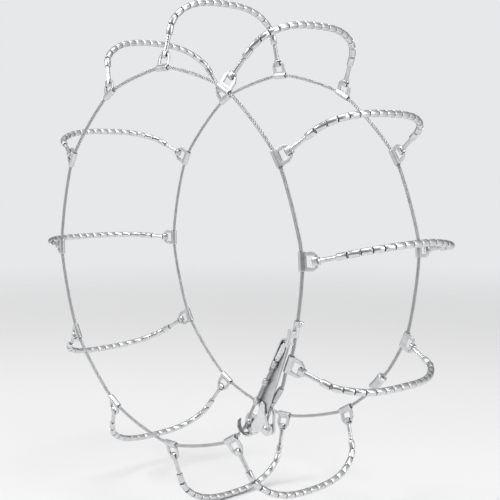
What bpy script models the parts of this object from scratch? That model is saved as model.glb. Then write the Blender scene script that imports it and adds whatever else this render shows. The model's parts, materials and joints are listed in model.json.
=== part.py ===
# Cable-type tyre chain, shown in its fitted (tensioned) shape.
#
# Frame: the wheel axis is Y, the outer face of the wheel looks towards -Y, +Z is up,
# and the origin is the middle of the ring on the wheel axis.  Metres throughout.
#
# Twelve cross members run over the tread between an outer and an inner side cable.
# Each one is a wire rope with a hook swaged on each end, threaded through short
# steel rollers.  A pressed lever closes the outer side cable.
import math
import bmesh
import bpy
from mathutils import Matrix, Vector

MM = 0.001

# ---- driving dimensions (millimetres and degrees) ------------------------------
RING_R = 267.3            # mean radius of a side cable about the wheel axis
RING_OVAL = 3.2           # how far the ring is out of round
RING_OVAL_AT = 147.0      # angle of its long axis
RING_DIP = 2.6            # how far a side cable dips between two clips
SIDE_Y = 115.0            # half the distance between the side cables
ROPE_R = 2.4              # radius of the wire ropes
MEMBERS = 12
FIRST_ANGLE = 91.0        # angle of member 1, from +X towards +Z
PITCH_ANGLE = 30.0
# how far each member sits off the even pitch, how far its crown has walked round
# the tread, and how far its hook is tipped in its clip (degrees)
OFF_PITCH = (-0.3, 0.5, 1.5, 3.0, 4.7, -0.2, 0.9, -0.2, -0.3, -0.6, -1.6, -1.9)
CROWN_WALK = (0.2, -1.1, 0.5, 2.4, 1.1, -1.3, 0.6, -0.5, 0.7, -0.6, 0.5, -0.4)
HOOK_TIP = (0.0, -7.0, 4.0, 10.0, 4.0, -8.0, 3.0, -3.0, 4.0, -4.0, 3.0, -3.0)

# the arch that a member follows over the tread, a superellipse
ARCH_HALF_W = 106.0
ARCH_BASE_R = 292.0
ARCH_RISE = 73.0
ARCH_EXP_Y = 2.70
ARCH_EXP_R = 2.385
LEAN = 15.0               # lean of the clips and of a member's straight ends

CLIP_LEN = 24.5           # along the cable
CLIP_SLEEVE_R = 4.4
CLIP_BORE_R = 3.0
CLIP_PLATE_T = 3.0
CLIP_BAR_AT = 20.0        # cable centre to the middle of the far bar
CLIP_BAR_W = 3.0
CLIP_WINDOW_HALF = 7.2
CLIP_WINDOW_FROM = 6.0

HEAD_HALF_T = 5.0         # hook head, along the bar
HEAD_HALF_A = 5.3
HEAD_HALF_N = 4.05
HEAD_HOLE_A = 3.3
HEAD_HOLE_N = 2.05
FERRULE_R = 3.0
FERRULE_END = 28.0        # from the bar's centre along the member
ROLLER_R = 4.6
ROLLER_BORE_R = 3.1
ROLLER_LEN = 13.6
ROLLER_START = 28.6
STRING_START = 44.4
STRING_ROLLERS = 16
STRAIGHT = 42.6

# closing lever, in the plane of the wheel (X, Z)
PIVOT = (215.0, -200.0)
LEVER_MID = (225.8, -132.0)
LEVER_DIR = (0.424, 0.906)
LEVER_BACK_Y = -120.2
LEVER_T = 1.6
FLANGE_Y = -126.0
PLATE_BACK_Y = -120.1
PLATE_FRONT_Y = -124.4
FINGER_GAP = 0.3
RIVET_R = 3.2
EYE_R = 3.7
BALL = (175.0, -199.0)
BALL_R = 4.1
BALL_Y = -115.4
CUP_C = (177.0, -202.0)
CUP_R = 15.5
CUP_WALL = 2.2

for ob in list(bpy.data.objects):
    bpy.data.objects.remove(ob, do_unlink=True)


def material(name, colour, rough, metal=1.0):
    m = bpy.data.materials.get(name)
    if m is None:
        m = bpy.data.materials.new(name)
        m.use_nodes = True
        b = m.node_tree.nodes['Principled BSDF']
        b.inputs['Base Color'].default_value = (*colour, 1.0)
        b.inputs['Roughness'].default_value = rough
        b.inputs['Metallic'].default_value = metal
    return m


ROPE = material('rope_steel', (0.62, 0.63, 0.65), 0.38)
ROLLER = material('roller_steel', (0.74, 0.75, 0.77), 0.30)
CLIP = material('clip_steel', (0.70, 0.71, 0.72), 0.34)
LEVER = material('lever_steel', (0.66, 0.66, 0.67), 0.36)


def place(name, bm, mat, parent=None, matrix=None):
    bmesh.ops.remove_doubles(bm, verts=bm.verts, dist=1e-6)
    bmesh.ops.recalc_face_normals(bm, faces=bm.faces)
    me = bpy.data.meshes.new(name)
    bm.to_mesh(me)
    bm.free()
    ob = bpy.data.objects.new(name, me)
    bpy.context.scene.collection.objects.link(ob)
    me.materials.append(mat)
    if parent is not None:
        ob.parent = parent
    if matrix is not None:
        ob.matrix_local = matrix
    me.shade_smooth()
    me.set_sharp_from_angle(angle=math.radians(40))
    return ob


def empty(name, matrix, parent=None):
    e = bpy.data.objects.new(name, None)
    bpy.context.scene.collection.objects.link(e)
    if parent is not None:
        e.parent = parent
    e.matrix_local = matrix
    e.empty_display_size = 0.02
    return e


def combined(base, others, operation):
    """Join or cut bmeshes with exact Booleans, and hand back one bmesh."""
    def tmp(bm):
        bmesh.ops.remove_doubles(bm, verts=bm.verts, dist=1e-6)
        bmesh.ops.recalc_face_normals(bm, faces=bm.faces)
        me = bpy.data.meshes.new('tmp')
        bm.to_mesh(me)
        bm.free()
        o = bpy.data.objects.new('tmp', me)
        bpy.context.scene.collection.objects.link(o)
        return o
    a = tmp(base)
    rest = [tmp(o) for o in others]
    for o in rest:
        m = a.modifiers.new('cut', 'BOOLEAN')
        m.operation = operation
        m.solver = 'EXACT'
        m.object = o
    bpy.context.view_layer.update()
    dg = bpy.context.evaluated_depsgraph_get()
    me = bpy.data.meshes.new_from_object(a.evaluated_get(dg))
    out = bmesh.new()
    out.from_mesh(me)
    for o in [a] + rest:
        old = o.data
        bpy.data.objects.remove(o, do_unlink=True)
        bpy.data.meshes.remove(old)
    bpy.data.meshes.remove(me)
    return out


def rings_along(points, radii, sides, up, turn=0.0):
    """Corner rings round a polyline; each ring's plane halves the bend."""
    n = len(points)
    rings = []
    for i, p in enumerate(points):
        a = (points[i] - points[i - 1]).normalized() if i else None
        b = (points[i + 1] - points[i]).normalized() if i < n - 1 else None
        d = a + b if a is not None and b is not None else (a or b)
        d.normalize()
        n1 = (up - d * up.dot(d)).normalized()
        n2 = d.cross(n1)
        r = radii[i]
        rings.append([p + (n1 * math.cos(q) + n2 * math.sin(q)) * r
                      for q in [turn + 2 * math.pi * k / sides for k in range(sides)]])
    return rings


def skin(bm, rings, cap=True):
    vs = [[bm.verts.new(c) for c in ring] for ring in rings]
    s = len(vs[0])
    for a, b in zip(vs, vs[1:]):
        for k in range(s):
            bm.faces.new((a[k], a[(k + 1) % s], b[(k + 1) % s], b[k]))
    if cap:
        bm.faces.new(list(reversed(vs[0])))
        bm.faces.new(vs[-1])
    return vs


def rod(points, radii, sides, up, turn=0.0):
    bm = bmesh.new()
    skin(bm, rings_along(points, radii, sides, up, turn))
    return bm


def sleeve(points, outer, points_in, inner, sides, up, turn=0.0):
    """A bored tube: outer and inner skins joined by flat end faces."""
    bm = bmesh.new()
    o = skin(bm, rings_along(points, outer, sides, up, turn), cap=False)
    i = skin(bm, rings_along(points_in, inner, sides, up, turn), cap=False)
    for a, b in ((o[0], i[0]), (o[-1], i[-1])):
        for k in range(sides):
            bm.faces.new((a[k], a[(k + 1) % sides], b[(k + 1) % sides], b[k]))
    return bm


def slab(outline, frame, low, high):
    """A flat outline (two coordinates) thickened along the frame's third axis."""
    bm = bmesh.new()
    o, ax, ay, an = frame
    lo = [bm.verts.new(o + ax * x + ay * y + an * low) for x, y in outline]
    hi = [bm.verts.new(o + ax * x + ay * y + an * high) for x, y in outline]
    n = len(outline)
    bm.faces.new(list(reversed(lo)))
    bm.faces.new(hi)
    for k in range(n):
        bm.faces.new((lo[k], lo[(k + 1) % n], hi[(k + 1) % n], hi[k]))
    return bm


def arc(cx, cy, r, a0, a1, n):
    return [(cx + r * math.cos(math.radians(a0 + (a1 - a0) * i / n)),
             cy + r * math.sin(math.radians(a0 + (a1 - a0) * i / n))) for i in range(n + 1)]


# ---- where things are -----------------------------------------------------------
def member_angle(k):
    return FIRST_ANGLE - PITCH_ANGLE * k + OFF_PITCH[k]


def ring_radius(angle):
    return RING_R + RING_OVAL * math.cos(2 * math.radians(angle - RING_OVAL_AT))


def wheel_frame(angle):
    """Radial, axial and tangential directions at an angle round the wheel."""
    q = math.radians(angle)
    return (Vector((math.cos(q), 0, math.sin(q))), Vector((0, 1, 0)),
            Vector((-math.sin(q), 0, math.cos(q))))


def local_matrix(origin, x, y, z):
    m = Matrix((x, y, z)).transposed().to_4x4()
    m.translation = origin
    return m


LEAN_C, LEAN_S = math.cos(math.radians(LEAN)), math.sin(math.radians(LEAN))


def half_profile(bar_r):
    """(y, r) from the outer bar's centre to the crown, straight at first."""
    y0 = -SIDE_Y + CLIP_BAR_AT * LEAN_S
    end = (y0 + STRAIGHT * LEAN_S, bar_r + STRAIGHT * LEAN_C)

    def arch(t):
        return (-ARCH_HALF_W * math.cos(t) ** (2 / ARCH_EXP_Y),
                ARCH_BASE_R + ARCH_RISE * math.sin(t) ** (2 / ARCH_EXP_R))
    t = 0.3
    while arch(t)[1] < 348.0:
        t += 0.002
    p2 = arch(t)
    q = arch(t + 0.01)
    d2 = (q[0] - p2[0], q[1] - p2[1])
    # the two tangents cross at the corner of a quadratic curve
    det = LEAN_S * d2[1] - LEAN_C * d2[0]
    u = ((p2[0] - end[0]) * d2[1] - (p2[1] - end[1]) * d2[0]) / det
    c = (end[0] + LEAN_S * u, end[1] + LEAN_C * u)
    pts = [(y0, bar_r), end]
    for i in range(1, 21):
        s = i / 20
        pts.append(tuple((1 - s) ** 2 * end[j] + 2 * s * (1 - s) * c[j] + s * s * p2[j] for j in (0, 1)))
    for i in range(1, 41):
        pts.append(arch(t + (math.pi / 2 - t) * i / 40) if i < 40 else (0.0, ARCH_BASE_R + ARCH_RISE))
    return pts


class Route:
    """A member's centre line, by distance from the outer bar, in (radial, Y, tangential)."""

    def __init__(self, k):
        self.bar_r = ring_radius(member_angle(k)) + CLIP_BAR_AT * LEAN_C
        half = half_profile(self.bar_r)
        flat = half + [(-y, r) for y, r in reversed(half[:-1])]
        self.flat = flat
        self.at = [0.0]
        for a, b in zip(flat, flat[1:]):
            self.at.append(self.at[-1] + math.hypot(b[0] - a[0], b[1] - a[1]))
        self.length = self.at[-1]
        self.crown = (ARCH_BASE_R + ARCH_RISE) * math.radians(CROWN_WALK[k])
        self.tip_out = math.tan(math.radians(HOOK_TIP[k]))
        self.tip_in = math.tan(math.radians(HOOK_TIP[k] * 0.5))

    def side(self, s):
        mid = self.length / 2
        slope, s = (self.tip_out, s) if s <= mid else (self.tip_in, self.length - s)
        if s <= STRAIGHT:
            return s * slope
        span = mid - STRAIGHT
        f = (s - STRAIGHT) / span
        h = 2 * f ** 3 - 3 * f ** 2 + 1
        return (h * STRAIGHT * slope + (f ** 3 - 2 * f ** 2 + f) * span * slope
                + (1 - h) * self.crown)

    def point(self, s):
        s = min(max(s, 0.0), self.length)
        i = 0
        while i < len(self.at) - 2 and self.at[i + 1] < s:
            i += 1
        f = (s - self.at[i]) / (self.at[i + 1] - self.at[i])
        y = self.flat[i][0] * (1 - f) + self.flat[i + 1][0] * f
        r = self.flat[i][1] * (1 - f) + self.flat[i + 1][1] * f
        # in the member's own frame, whose origin is on its swing axis
        return Vector(((r - self.bar_r), y, self.side(s))) * MM


UP_T = Vector((0, 0, 1))


def head(route, inner):
    """The hook head: an eight-sided block, with a slot through it for the clip's bar."""
    s = route.length if inner else 0.0
    p = route.point(s)
    d = (route.point(s - 20) if inner else route.point(20)) - p
    d.normalize()
    t = (UP_T - d * UP_T.dot(d)).normalized()
    n = d.cross(t)
    c = 2.0
    A, N = HEAD_HALF_A, HEAD_HALF_N
    outline = [(A, N - c), (A - c, N), (-A + c, N), (-A, N - c), (-A, -N + c), (-A + c, -N), (A - c, -N), (A, -N + c)]
    hole = [(HEAD_HOLE_A, HEAD_HOLE_N), (-HEAD_HOLE_A, HEAD_HOLE_N), (-HEAD_HOLE_A, -HEAD_HOLE_N), (HEAD_HOLE_A, -HEAD_HOLE_N)]
    frame = (p, d * MM, n * MM, t * MM)
    return slab(outline, frame, -HEAD_HALF_T, HEAD_HALF_T), slab(hole, frame, -9.0, 9.0)


def string_stations(length):
    """Where the rollers of a string meet, by distance along the member."""
    a, b = STRING_START, length - ROLLER_START
    return [a + (b - a) * i / STRING_ROLLERS for i in range(STRING_ROLLERS + 1)]


def cross_cable(route):
    L = route.length
    s = [HEAD_HALF_A - 1.2, FERRULE_END, FERRULE_END]
    r = [FERRULE_R, FERRULE_R * 0.94, ROPE_R]
    for x in string_stations(L):
        s.append(x)
        r.append(ROPE_R)
    s += [L - x for x in (FERRULE_END, FERRULE_END, HEAD_HALF_A - 1.2)]
    r += [ROPE_R, FERRULE_R * 0.94, FERRULE_R]
    pts, rad = [], []
    for i, (a, b) in enumerate(zip(s, r)):
        pts.append(route.point(a))
        rad.append(b * MM)
    # a step in radius keeps its two rings a hair apart
    for i in range(1, len(pts)):
        if (pts[i] - pts[i - 1]).length < 1e-7:
            pts[i] = route.point(s[i] + 0.15)
    bm = rod(pts, rad, 6, UP_T)
    ho, hc = head(route, False)
    io, ic = head(route, True)
    bm = combined(bm, [ho, io], 'UNION')
    return combined(bm, [hc, ic], 'DIFFERENCE')


def roller_string(route):
    L = route.length
    a, b = STRING_START, L - ROLLER_START
    pitch = (b - a) / STRING_ROLLERS
    outer, rad = [], []
    for i in range(STRING_ROLLERS):
        outer.append(route.point(a + pitch * i))
        rad.append((ROLLER_R - 0.9) * MM)
        outer.append(route.point(a + pitch * (i + 0.5)))
        rad.append(ROLLER_R * MM)
    outer.append(route.point(b))
    rad.append(ROLLER_R * MM)
    bore = [route.point(x) for x in string_stations(L)]
    return sleeve(outer, rad, bore, [ROLLER_BORE_R * MM] * len(bore), 6, UP_T)


def clip_frame(angle, side):
    """Origin on the side cable; first axis out along the plate, second along the cable."""
    rad, ax, tan = wheel_frame(angle)
    o = (rad * ring_radius(angle) + ax * SIDE_Y * side) * MM
    a = rad * LEAN_C - ax * LEAN_S * side
    n = a.cross(tan)
    return o, a * MM, tan * MM, n * MM


def clip_solids(angle, side):
    o, a, t, n = clip_frame(angle, side)
    h = CLIP_LEN / 2
    far = CLIP_BAR_AT + CLIP_BAR_W / 2
    outline = [(0.5, -h + 0.2), (15.5, -h + 0.2), (far, -8.0), (far, 8.0), (15.5, h - 0.2), (0.5, h - 0.2)]
    window = [(CLIP_WINDOW_FROM, -CLIP_WINDOW_HALF), (far - CLIP_BAR_W, -CLIP_WINDOW_HALF),
              (far - CLIP_BAR_W, CLIP_WINDOW_HALF), (CLIP_WINDOW_FROM, CLIP_WINDOW_HALF)]
    plate = slab(outline, (o, a, t, n), -CLIP_PLATE_T / 2, CLIP_PLATE_T / 2)
    hole = slab(window, (o, a, t, n), -6.0, 6.0)
    tube = rod([o - t * h, o + t * h], [CLIP_SLEEVE_R * MM] * 2, 8, a / MM, math.pi / 8)
    bore = rod([o - t * (h + 5), o + t * (h + 5)], [CLIP_BORE_R * MM] * 2, 8, a / MM, math.pi / 8)
    return plate, hole, tube, bore


def ring_points(angles, side, start=None, end=None):
    """A side cable's centre line through its clips, straight inside each clip."""
    pts = []
    half = CLIP_LEN / 2 + 1.0
    for i, q in enumerate(angles):
        rad, ax, tan = wheel_frame(q)
        c = (rad * ring_radius(q) + ax * SIDE_Y * side) * MM
        pts.append(c + tan * half * MM)
        pts.append(c - tan * half * MM)
        if i + 1 < len(angles):
            lead = math.degrees(half / RING_R)
            q0, q1 = q - lead, angles[i + 1] + lead
            r0 = math.hypot(ring_radius(q), half)
            r1 = math.hypot(ring_radius(angles[i + 1]), half)
            for j in range(1, 5):
                f = j / 5
                rr = r0 * (1 - f) + r1 * f - RING_DIP * math.sin(math.pi * f)
                d, _, _ = wheel_frame(q0 + (q1 - q0) * f)
                pts.append((d * rr + ax * SIDE_Y * side) * MM)
    return (start or []) + pts + (end or [])


def xz(p, y):
    return Vector((p[0], y, p[1])) * MM


ANGLES = [member_angle(k) for k in range(MEMBERS)]
# the ring runs from the ball end through clips 6 ... 12, then 1 ... 5
ORDER = [ANGLES[5 + i] if 5 + i < MEMBERS else ANGLES[5 + i - MEMBERS] - 360.0 for i in range(MEMBERS)]

# ---- cross members ---------------------------------------------------------------
for k in range(MEMBERS):
    tag = '%02d' % (k + 1)
    route = Route(k)
    rad, ax, tan = wheel_frame(ANGLES[k])
    swing = empty('swing_' + tag, local_matrix(rad * route.bar_r * MM, rad, ax, tan))
    place('cross_cable_' + tag, cross_cable(route), ROPE, swing)
    place('roller_string_' + tag, roller_string(route), ROLLER, swing)
    # the first roller turns on the straight stretch, about its own axis
    p = route.point(ROLLER_START + ROLLER_LEN / 2)
    d = (route.point(40.0) - route.point(0.0)).normalized()
    e1 = (UP_T - d * UP_T.dot(d)).normalized()
    spin = empty('spin_' + tag, local_matrix(p, e1, d.cross(e1), d), swing)
    h = ROLLER_LEN / 2 * MM
    ends = [Vector((0, 0, -h)), Vector((0, 0, h))]
    place('end_roller_' + tag, sleeve(ends, [ROLLER_R * MM] * 2, ends, [ROLLER_BORE_R * MM] * 2, 8, Vector((1, 0, 0))), ROLLER, spin)
    plate, hole, tube, bore = clip_solids(ANGLES[k], -1)
    bm = combined(plate, [tube], 'UNION')
    bm = combined(bm, [hole, bore], 'DIFFERENCE')
    place('cable_clip_' + tag, bm, CLIP)

# ---- side cables -------------------------------------------------------------------
clip5_rad, clip5_ax, clip5_tan = wheel_frame(ANGLES[4])
FERRULE_A = (233.6, -144.6)
FERRULE_B = (219.6, -163.4)
fa, fb = xz(FERRULE_A, -SIDE_Y), xz(FERRULE_B, -SIDE_Y)
fdir = (fb - fa).normalized()
tail_end = [fa - fdir * 0.001 * 1.0, fb - fdir * 0.0015]
ball = xz(BALL, BALL_Y)
first = ring_points(ORDER[:1], -1)[0]
bdir = (ball - first).normalized()
start = [ball + bdir * BALL_R * MM * 0.92, ball + bdir * BALL_R * MM * 0.6, ball,
         ball - bdir * BALL_R * MM * 0.7, ball - bdir * BALL_R * MM * 0.95]
pts = ring_points(ORDER, -1, start, tail_end)
radii = [BALL_R * 0.4 * MM, BALL_R * 0.82 * MM, BALL_R * MM, BALL_R * 0.72 * MM, ROPE_R * MM] + [ROPE_R * MM] * (len(pts) - 5)
place('outer_side_cable', rod(pts, radii, 6, Vector((0, 1, 0)), math.pi / 6), ROPE)

# the inner cable carries its clips crimped on, and ends in a coupler below
gap_a, gap_b = ANGLES[5] + 11.0, ANGLES[4] - 12.0
ra, _, ta = wheel_frame(gap_a)
rb, _, tb = wheel_frame(gap_b)
ca = (ra * (ring_radius(gap_a)) + Vector((0, SIDE_Y, 0))) * MM
cb = (rb * (ring_radius(gap_b)) + Vector((0, SIDE_Y, 0))) * MM
cdir = (cb - ca).normalized()
mid = (ca + cb) / 2
inner = ring_points(ORDER, 1, [mid - cdir * 0.0012, ca], [cb, mid + cdir * 0.0105])
bm = rod(inner, [ROPE_R * MM] * len(inner), 6, Vector((0, 1, 0)), math.pi / 6)
plates, holes = [], []
for q in ANGLES:
    plate, hole, tube, bore = clip_solids(q, 1)
    bore.free()
    plates += [plate, tube]
    holes.append(hole)
bm = combined(bm, plates, 'UNION')
bm = combined(bm, holes, 'DIFFERENCE')
place('inner_side_cable', bm, ROPE)

# coupler barrel over both ends of the inner cable, with a slot along its outer side
barrel = sleeve([mid - cdir * 0.014, mid + cdir * 0.014], [0.0072] * 2,
                [mid - cdir * 0.014, mid - cdir * 0.010, mid - cdir * 0.0099, mid + cdir * 0.010, mid + cdir * 0.0101, mid + cdir * 0.014],
                [0.0031, 0.0031, 0.0052, 0.0052, 0.0031, 0.0031], 10, Vector((0, 1, 0)), 0.0)
side_n = cdir.cross(Vector((0, 1, 0)))
slot = slab([(-16.0, -3.0), (2.0, -3.0), (2.0, 3.0), (-16.0, 3.0)], (mid, cdir * MM, side_n * MM, Vector((0, 1, 0)) * MM), 1.0, 12.0)
place('inner_coupler', combined(barrel, [slot], 'DIFFERENCE'), CLIP)
st = [mid - cdir * 0.0093, mid - cdir * 0.0083, mid - cdir * 0.0022, mid - cdir * 0.0014]
place('inner_stop_sleeve', sleeve(st, [0.0036, 0.0046, 0.0046, 0.0036], [st[0], st[-1]], [0.0029] * 2, 8, Vector((0, 1, 0)), 0.0), CLIP)

# ---- closing lever -------------------------------------------------------------------
pivot = empty('lever_pivot', Matrix.Translation(xz(PIVOT, 0.0)))
U = Vector((LEVER_DIR[0], 0, LEVER_DIR[1])).normalized()
V = Vector((U.z, 0, -U.x))
FY = Vector((0, -1, 0))
lev = (xz(LEVER_MID, 0.0) - xz(PIVOT, 0.0), V * MM, U * MM, FY * MM)
flat = (Vector((0, 0, 0)), Vector((1, 0, 0)) * MM, Vector((0, 0, 1)) * MM, FY * MM)


def rel(pts):
    return [(x - PIVOT[0], z - PIVOT[1]) for x, z in pts]


TIP_C, TIP_R = 52.0, 7.0
outline = ([(TIP_R * math.cos(math.radians(a)), TIP_C + TIP_R * math.sin(math.radians(a))) for a in range(0, 181, 30)]
           + [(-9.5, 0.0), (-10.5, -34.0), (-7.0, -50.0), (7.5, -52.0), (11.0, -44.0), (9.8, 0.0)])
pan = slab(outline, lev, -LEVER_BACK_Y, -LEVER_BACK_Y - 0 + 5.8)
inside = ([((TIP_R - 1.5) * math.cos(math.radians(a)), TIP_C + (TIP_R - 1.5) * math.sin(math.radians(a))) for a in range(0, 181, 30)]
          + [(-8.0, 0.0), (-14.0, 0.0), (-14.0, -60.0), (9.4, -60.0), (9.4, -44.0), (8.3, 0.0)])
well = slab(inside, lev, -LEVER_BACK_Y + LEVER_T, 140.0)
place('tension_lever', combined(pan, [well], 'DIFFERENCE'), LEVER, pivot)

crank = rel([(203.2, -171.0), (204.2, -166.8), (207.6, -165.2), (211.0, -166.8), (212.0, -171.0), (213.2, -179.0), (216.0, -188.6)])
crank += rel(arc(PIVOT[0], PIVOT[1], 8.6, 62, -125, 6))
crank += rel([(205.0, -203.6), (199.0, -207.4), (192.0, -207.0), (187.8, -202.0), (189.0, -196.0), (196.0, -188.0), (200.0, -180.0)])
body = slab(crank, flat, -PLATE_BACK_Y, -PLATE_FRONT_Y)
pin_hole = rod([Vector((0, -0.13, 0)), Vector((0, -0.11, 0))], [0.0035] * 2, 10, Vector((1, 0, 0)))
# the finger stands in front of the lever's floor, so its back is relieved there
relief = slab([(x * 1.06, y * 1.02) for x, y in outline], lev, 110.0, -LEVER_BACK_Y + LEVER_T + FINGER_GAP)
place('crank_plate', combined(body, [pin_hole, relief], 'DIFFERENCE'), LEVER, pivot)

# rivet: head in front of the plate, shank through the eye, tail behind it
prof = [(-127.4, 2.2), (-126.9, 4.4), (-124.8, 5.6), (-124.7, RIVET_R), (-112.2, RIVET_R), (-112.1, 4.8), (-110.6, 4.0)]
place('pivot_rivet', rod([Vector((0, y, 0)) * MM for y, r in prof], [r * MM for y, r in prof], 10, Vector((1, 0, 0))), LEVER, pivot)

# cup on the crank's left lobe, which the ball end of the side cable sits in
ccx, ccz = CUP_C[0] - PIVOT[0], CUP_C[1] - PIVOT[1]
floor = slab(arc(ccx, ccz, CUP_R, 0, 345, 23), flat, 110.0, 111.5)
wall = slab(arc(ccx, ccz, CUP_R, 242, 392, 10) + arc(ccx, ccz, CUP_R - CUP_WALL, 392, 242, 10), flat, 110.6, 119.8)
# the rim stands deeper below and to the left, where it arches in front of the side cable
rim = slab(arc(ccx, ccz, CUP_R, 152, 322, 14) + arc(ccx, ccz, CUP_R - CUP_WALL, 322, 152, 14), flat, 119.2, 127.5)
place('catch_cup', combined(floor, [wall, rim], 'UNION'), LEVER, pivot)

# beaded tail of the side cable, tucked along the lever
TAIL = [((180.8, -192.6), -122.6), ((184.6, -187.0), -123.1), ((190.2, -178.6), -123.9), ((198.3, -166.6), -124.4),
        ((219.0, -132.4), -124.4), ((238.0, -101.0), -124.4), ((243.6, -91.6), -124.4)]


def tail_curve(f):
    """A smooth curve through the tail's own points."""
    n = len(TAIL) - 1
    i = min(int(f * n), n - 1)
    u = f * n - i
    p = [Vector((TAIL[min(max(j, 0), n)][0][0], TAIL[min(max(j, 0), n)][1], TAIL[min(max(j, 0), n)][0][1])) for j in (i - 1, i, i + 1, i + 2)]
    return 0.5 * ((2 * p[1]) + (p[2] - p[0]) * u + (2 * p[0] - 5 * p[1] + 4 * p[2] - p[3]) * u * u
                  + (3 * p[1] - p[0] - 3 * p[2] + p[3]) * u ** 3)


samples = [tail_curve(i / 60) for i in range(61)]
walked = [0.0]
for a, b in zip(samples, samples[1:]):
    walked.append(walked[-1] + (b - a).length)


def tail_at(s):
    i = 0
    while i < 59 and walked[i + 1] < s:
        i += 1
    f = (s - walked[i]) / (walked[i + 1] - walked[i])
    return samples[i].lerp(samples[i + 1], f) - Vector((PIVOT[0], 0, PIVOT[1]))


BEAD_AT = (33.5, 64.5, 95.5)
stations = [(0.0, 2.2), (5.0, 2.2), (11.0, 2.2)]
for b in BEAD_AT:
    grow = 2.25 if b > 70 else 3.2
    stations += [(b - 5.2, 2.1), (b - 4.4, max(grow, 2.2)), (b + 4.4, max(grow, 2.2)), (b + 5.2, 2.1)]
stations += [(walked[-1], 2.1)]
place('adjuster_tail', rod([tail_at(s) * MM for s, r in stations],
                           [(r if r < 3 else 2.25) * MM for s, r in stations], 8, Vector((0, 1, 0))), ROPE, pivot)

# ---- fixed parts of the tightener ---------------------------------------------------
place('cable_end_ferrule', sleeve([fa, fb], [0.0041] * 2, [fa, fb], [0.0029] * 2, 8, Vector((0, 1, 0)), math.pi / 8), CLIP)
ex, ez = FERRULE_B[0] + fdir.x * 0.4, FERRULE_B[1] + fdir.z * 0.4
lx, lz = fdir.z, -fdir.x
link = [(ex + lx * 3.6, ez + lz * 3.6), (ex - lx * 3.6, ez - lz * 3.6), (222.0, -178.0), (223.4, -191.0)]
link += arc(PIVOT[0], PIVOT[1], 9.4, 55, -235, 9)
link += [(213.6, -186.0), (214.6, -176.0)]
strap = slab(link, (Vector((0, 0, 0)), Vector((1, 0, 0)) * MM, Vector((0, 0, 1)) * MM, FY * MM), 112.6, 119.6)
eye = rod([xz(PIVOT, -125.0), xz(PIVOT, -105.0)], [EYE_R * MM] * 2, 12, Vector((1, 0, 0)))
place('yoke_link', combined(strap, [eye], 'DIFFERENCE'), CLIP)

# keeper over the lever's tip, turning on the side cable above clip 5
q4, q5 = ANGLES[3], ANGLES[4]
seg = ring_points([q4, q5], -1)
best = max(range(2, 6), key=lambda i: -abs(seg[i].z - -0.058))
k0, k1 = sorted((seg[best], seg[best + 1]), key=lambda v: v.z)
kdir = (k1 - k0).normalized()
kc = k0 + kdir * 0.013
left = Vector((-kdir.z, 0, kdir.x))
kmat = local_matrix(kc, left, Vector((0, -1, 0)), left.cross(Vector((0, -1, 0))))
keeper = empty('keeper_pivot', kmat)
# in the keeper's frame: x left across the lever, y out from the wheel, z along the cable
zc = 1 if kmat.to_3x3().col[2].dot(kdir) > 0 else -1
tube = rod([Vector((0, 0, -0.0105)), Vector((0, 0, 0.0105))], [0.0044] * 2, 8, Vector((1, 0, 0)), math.pi / 8)
bore = rod([Vector((0, 0, -0.03)), Vector((0, 0, 0.03))], [0.0030] * 2, 8, Vector((1, 0, 0)), math.pi / 8)
K = (Vector((0, 0, 0)), Vector((1, 0, 0)) * MM, Vector((0, 0, 1)) * MM * zc, Vector((0, -1, 0)) * MM)
leg = slab([(-3.6, -10.3), (1.4, -10.3), (1.4, -1.0), (-3.6, -1.0)], K, -13.2, -3.2)
arm = slab([(-4.6, 2.0), (-4.2, -12.6), (-9.0, -13.6), (-8.7, -17.6), (-1.0, -17.2), (0.4, -23.0), (6.9, -21.6), (4.4, -14.0), (1.6, -1.0), (0.6, 3.0)], K, -13.6, -12.0)
tab = slab([(1.0, -8.4), (6.9, -7.6), (6.9, -1.2), (1.0, -1.6)], K, -8.6, -7.0)
ear = slab([(-2.6, 9.3), (-2.6, 3.0), (-6.4, 4.4), (-10.8, 7.6), (-11.4, 10.6), (-9.0, 13.0), (-5.8, 12.6)], K, -3.0, 0.6)
bm = combined(tube, [leg, arm, tab, ear], 'UNION')
place('tip_keeper', combined(bm, [bore], 'DIFFERENCE'), CLIP, keeper)

bpy.context.view_layer.update()
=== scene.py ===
import json
import math

import bmesh
import bpy
import numpy as np
from mathutils import Matrix, Vector


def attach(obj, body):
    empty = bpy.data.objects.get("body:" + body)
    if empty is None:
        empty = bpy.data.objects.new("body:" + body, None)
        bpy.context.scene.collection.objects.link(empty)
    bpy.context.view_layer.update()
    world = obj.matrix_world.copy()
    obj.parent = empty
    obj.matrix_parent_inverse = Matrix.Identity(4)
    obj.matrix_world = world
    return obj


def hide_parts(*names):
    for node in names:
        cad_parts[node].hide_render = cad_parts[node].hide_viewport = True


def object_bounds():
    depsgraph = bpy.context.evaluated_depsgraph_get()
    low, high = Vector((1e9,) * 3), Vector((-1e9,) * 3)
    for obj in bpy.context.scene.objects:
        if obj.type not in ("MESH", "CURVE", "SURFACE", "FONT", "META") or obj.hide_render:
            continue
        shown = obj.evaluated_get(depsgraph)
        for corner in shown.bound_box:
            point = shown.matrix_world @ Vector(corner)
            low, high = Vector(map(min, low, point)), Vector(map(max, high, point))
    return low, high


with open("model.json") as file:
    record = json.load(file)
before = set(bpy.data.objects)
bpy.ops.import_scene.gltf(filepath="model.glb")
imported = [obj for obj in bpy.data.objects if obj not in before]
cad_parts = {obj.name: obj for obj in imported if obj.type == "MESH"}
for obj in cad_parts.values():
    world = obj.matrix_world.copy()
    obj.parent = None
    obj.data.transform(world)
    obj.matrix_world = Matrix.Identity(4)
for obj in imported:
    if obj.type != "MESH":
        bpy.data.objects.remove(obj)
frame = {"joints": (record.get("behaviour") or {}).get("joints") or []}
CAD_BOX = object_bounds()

MM = 0.001

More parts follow.
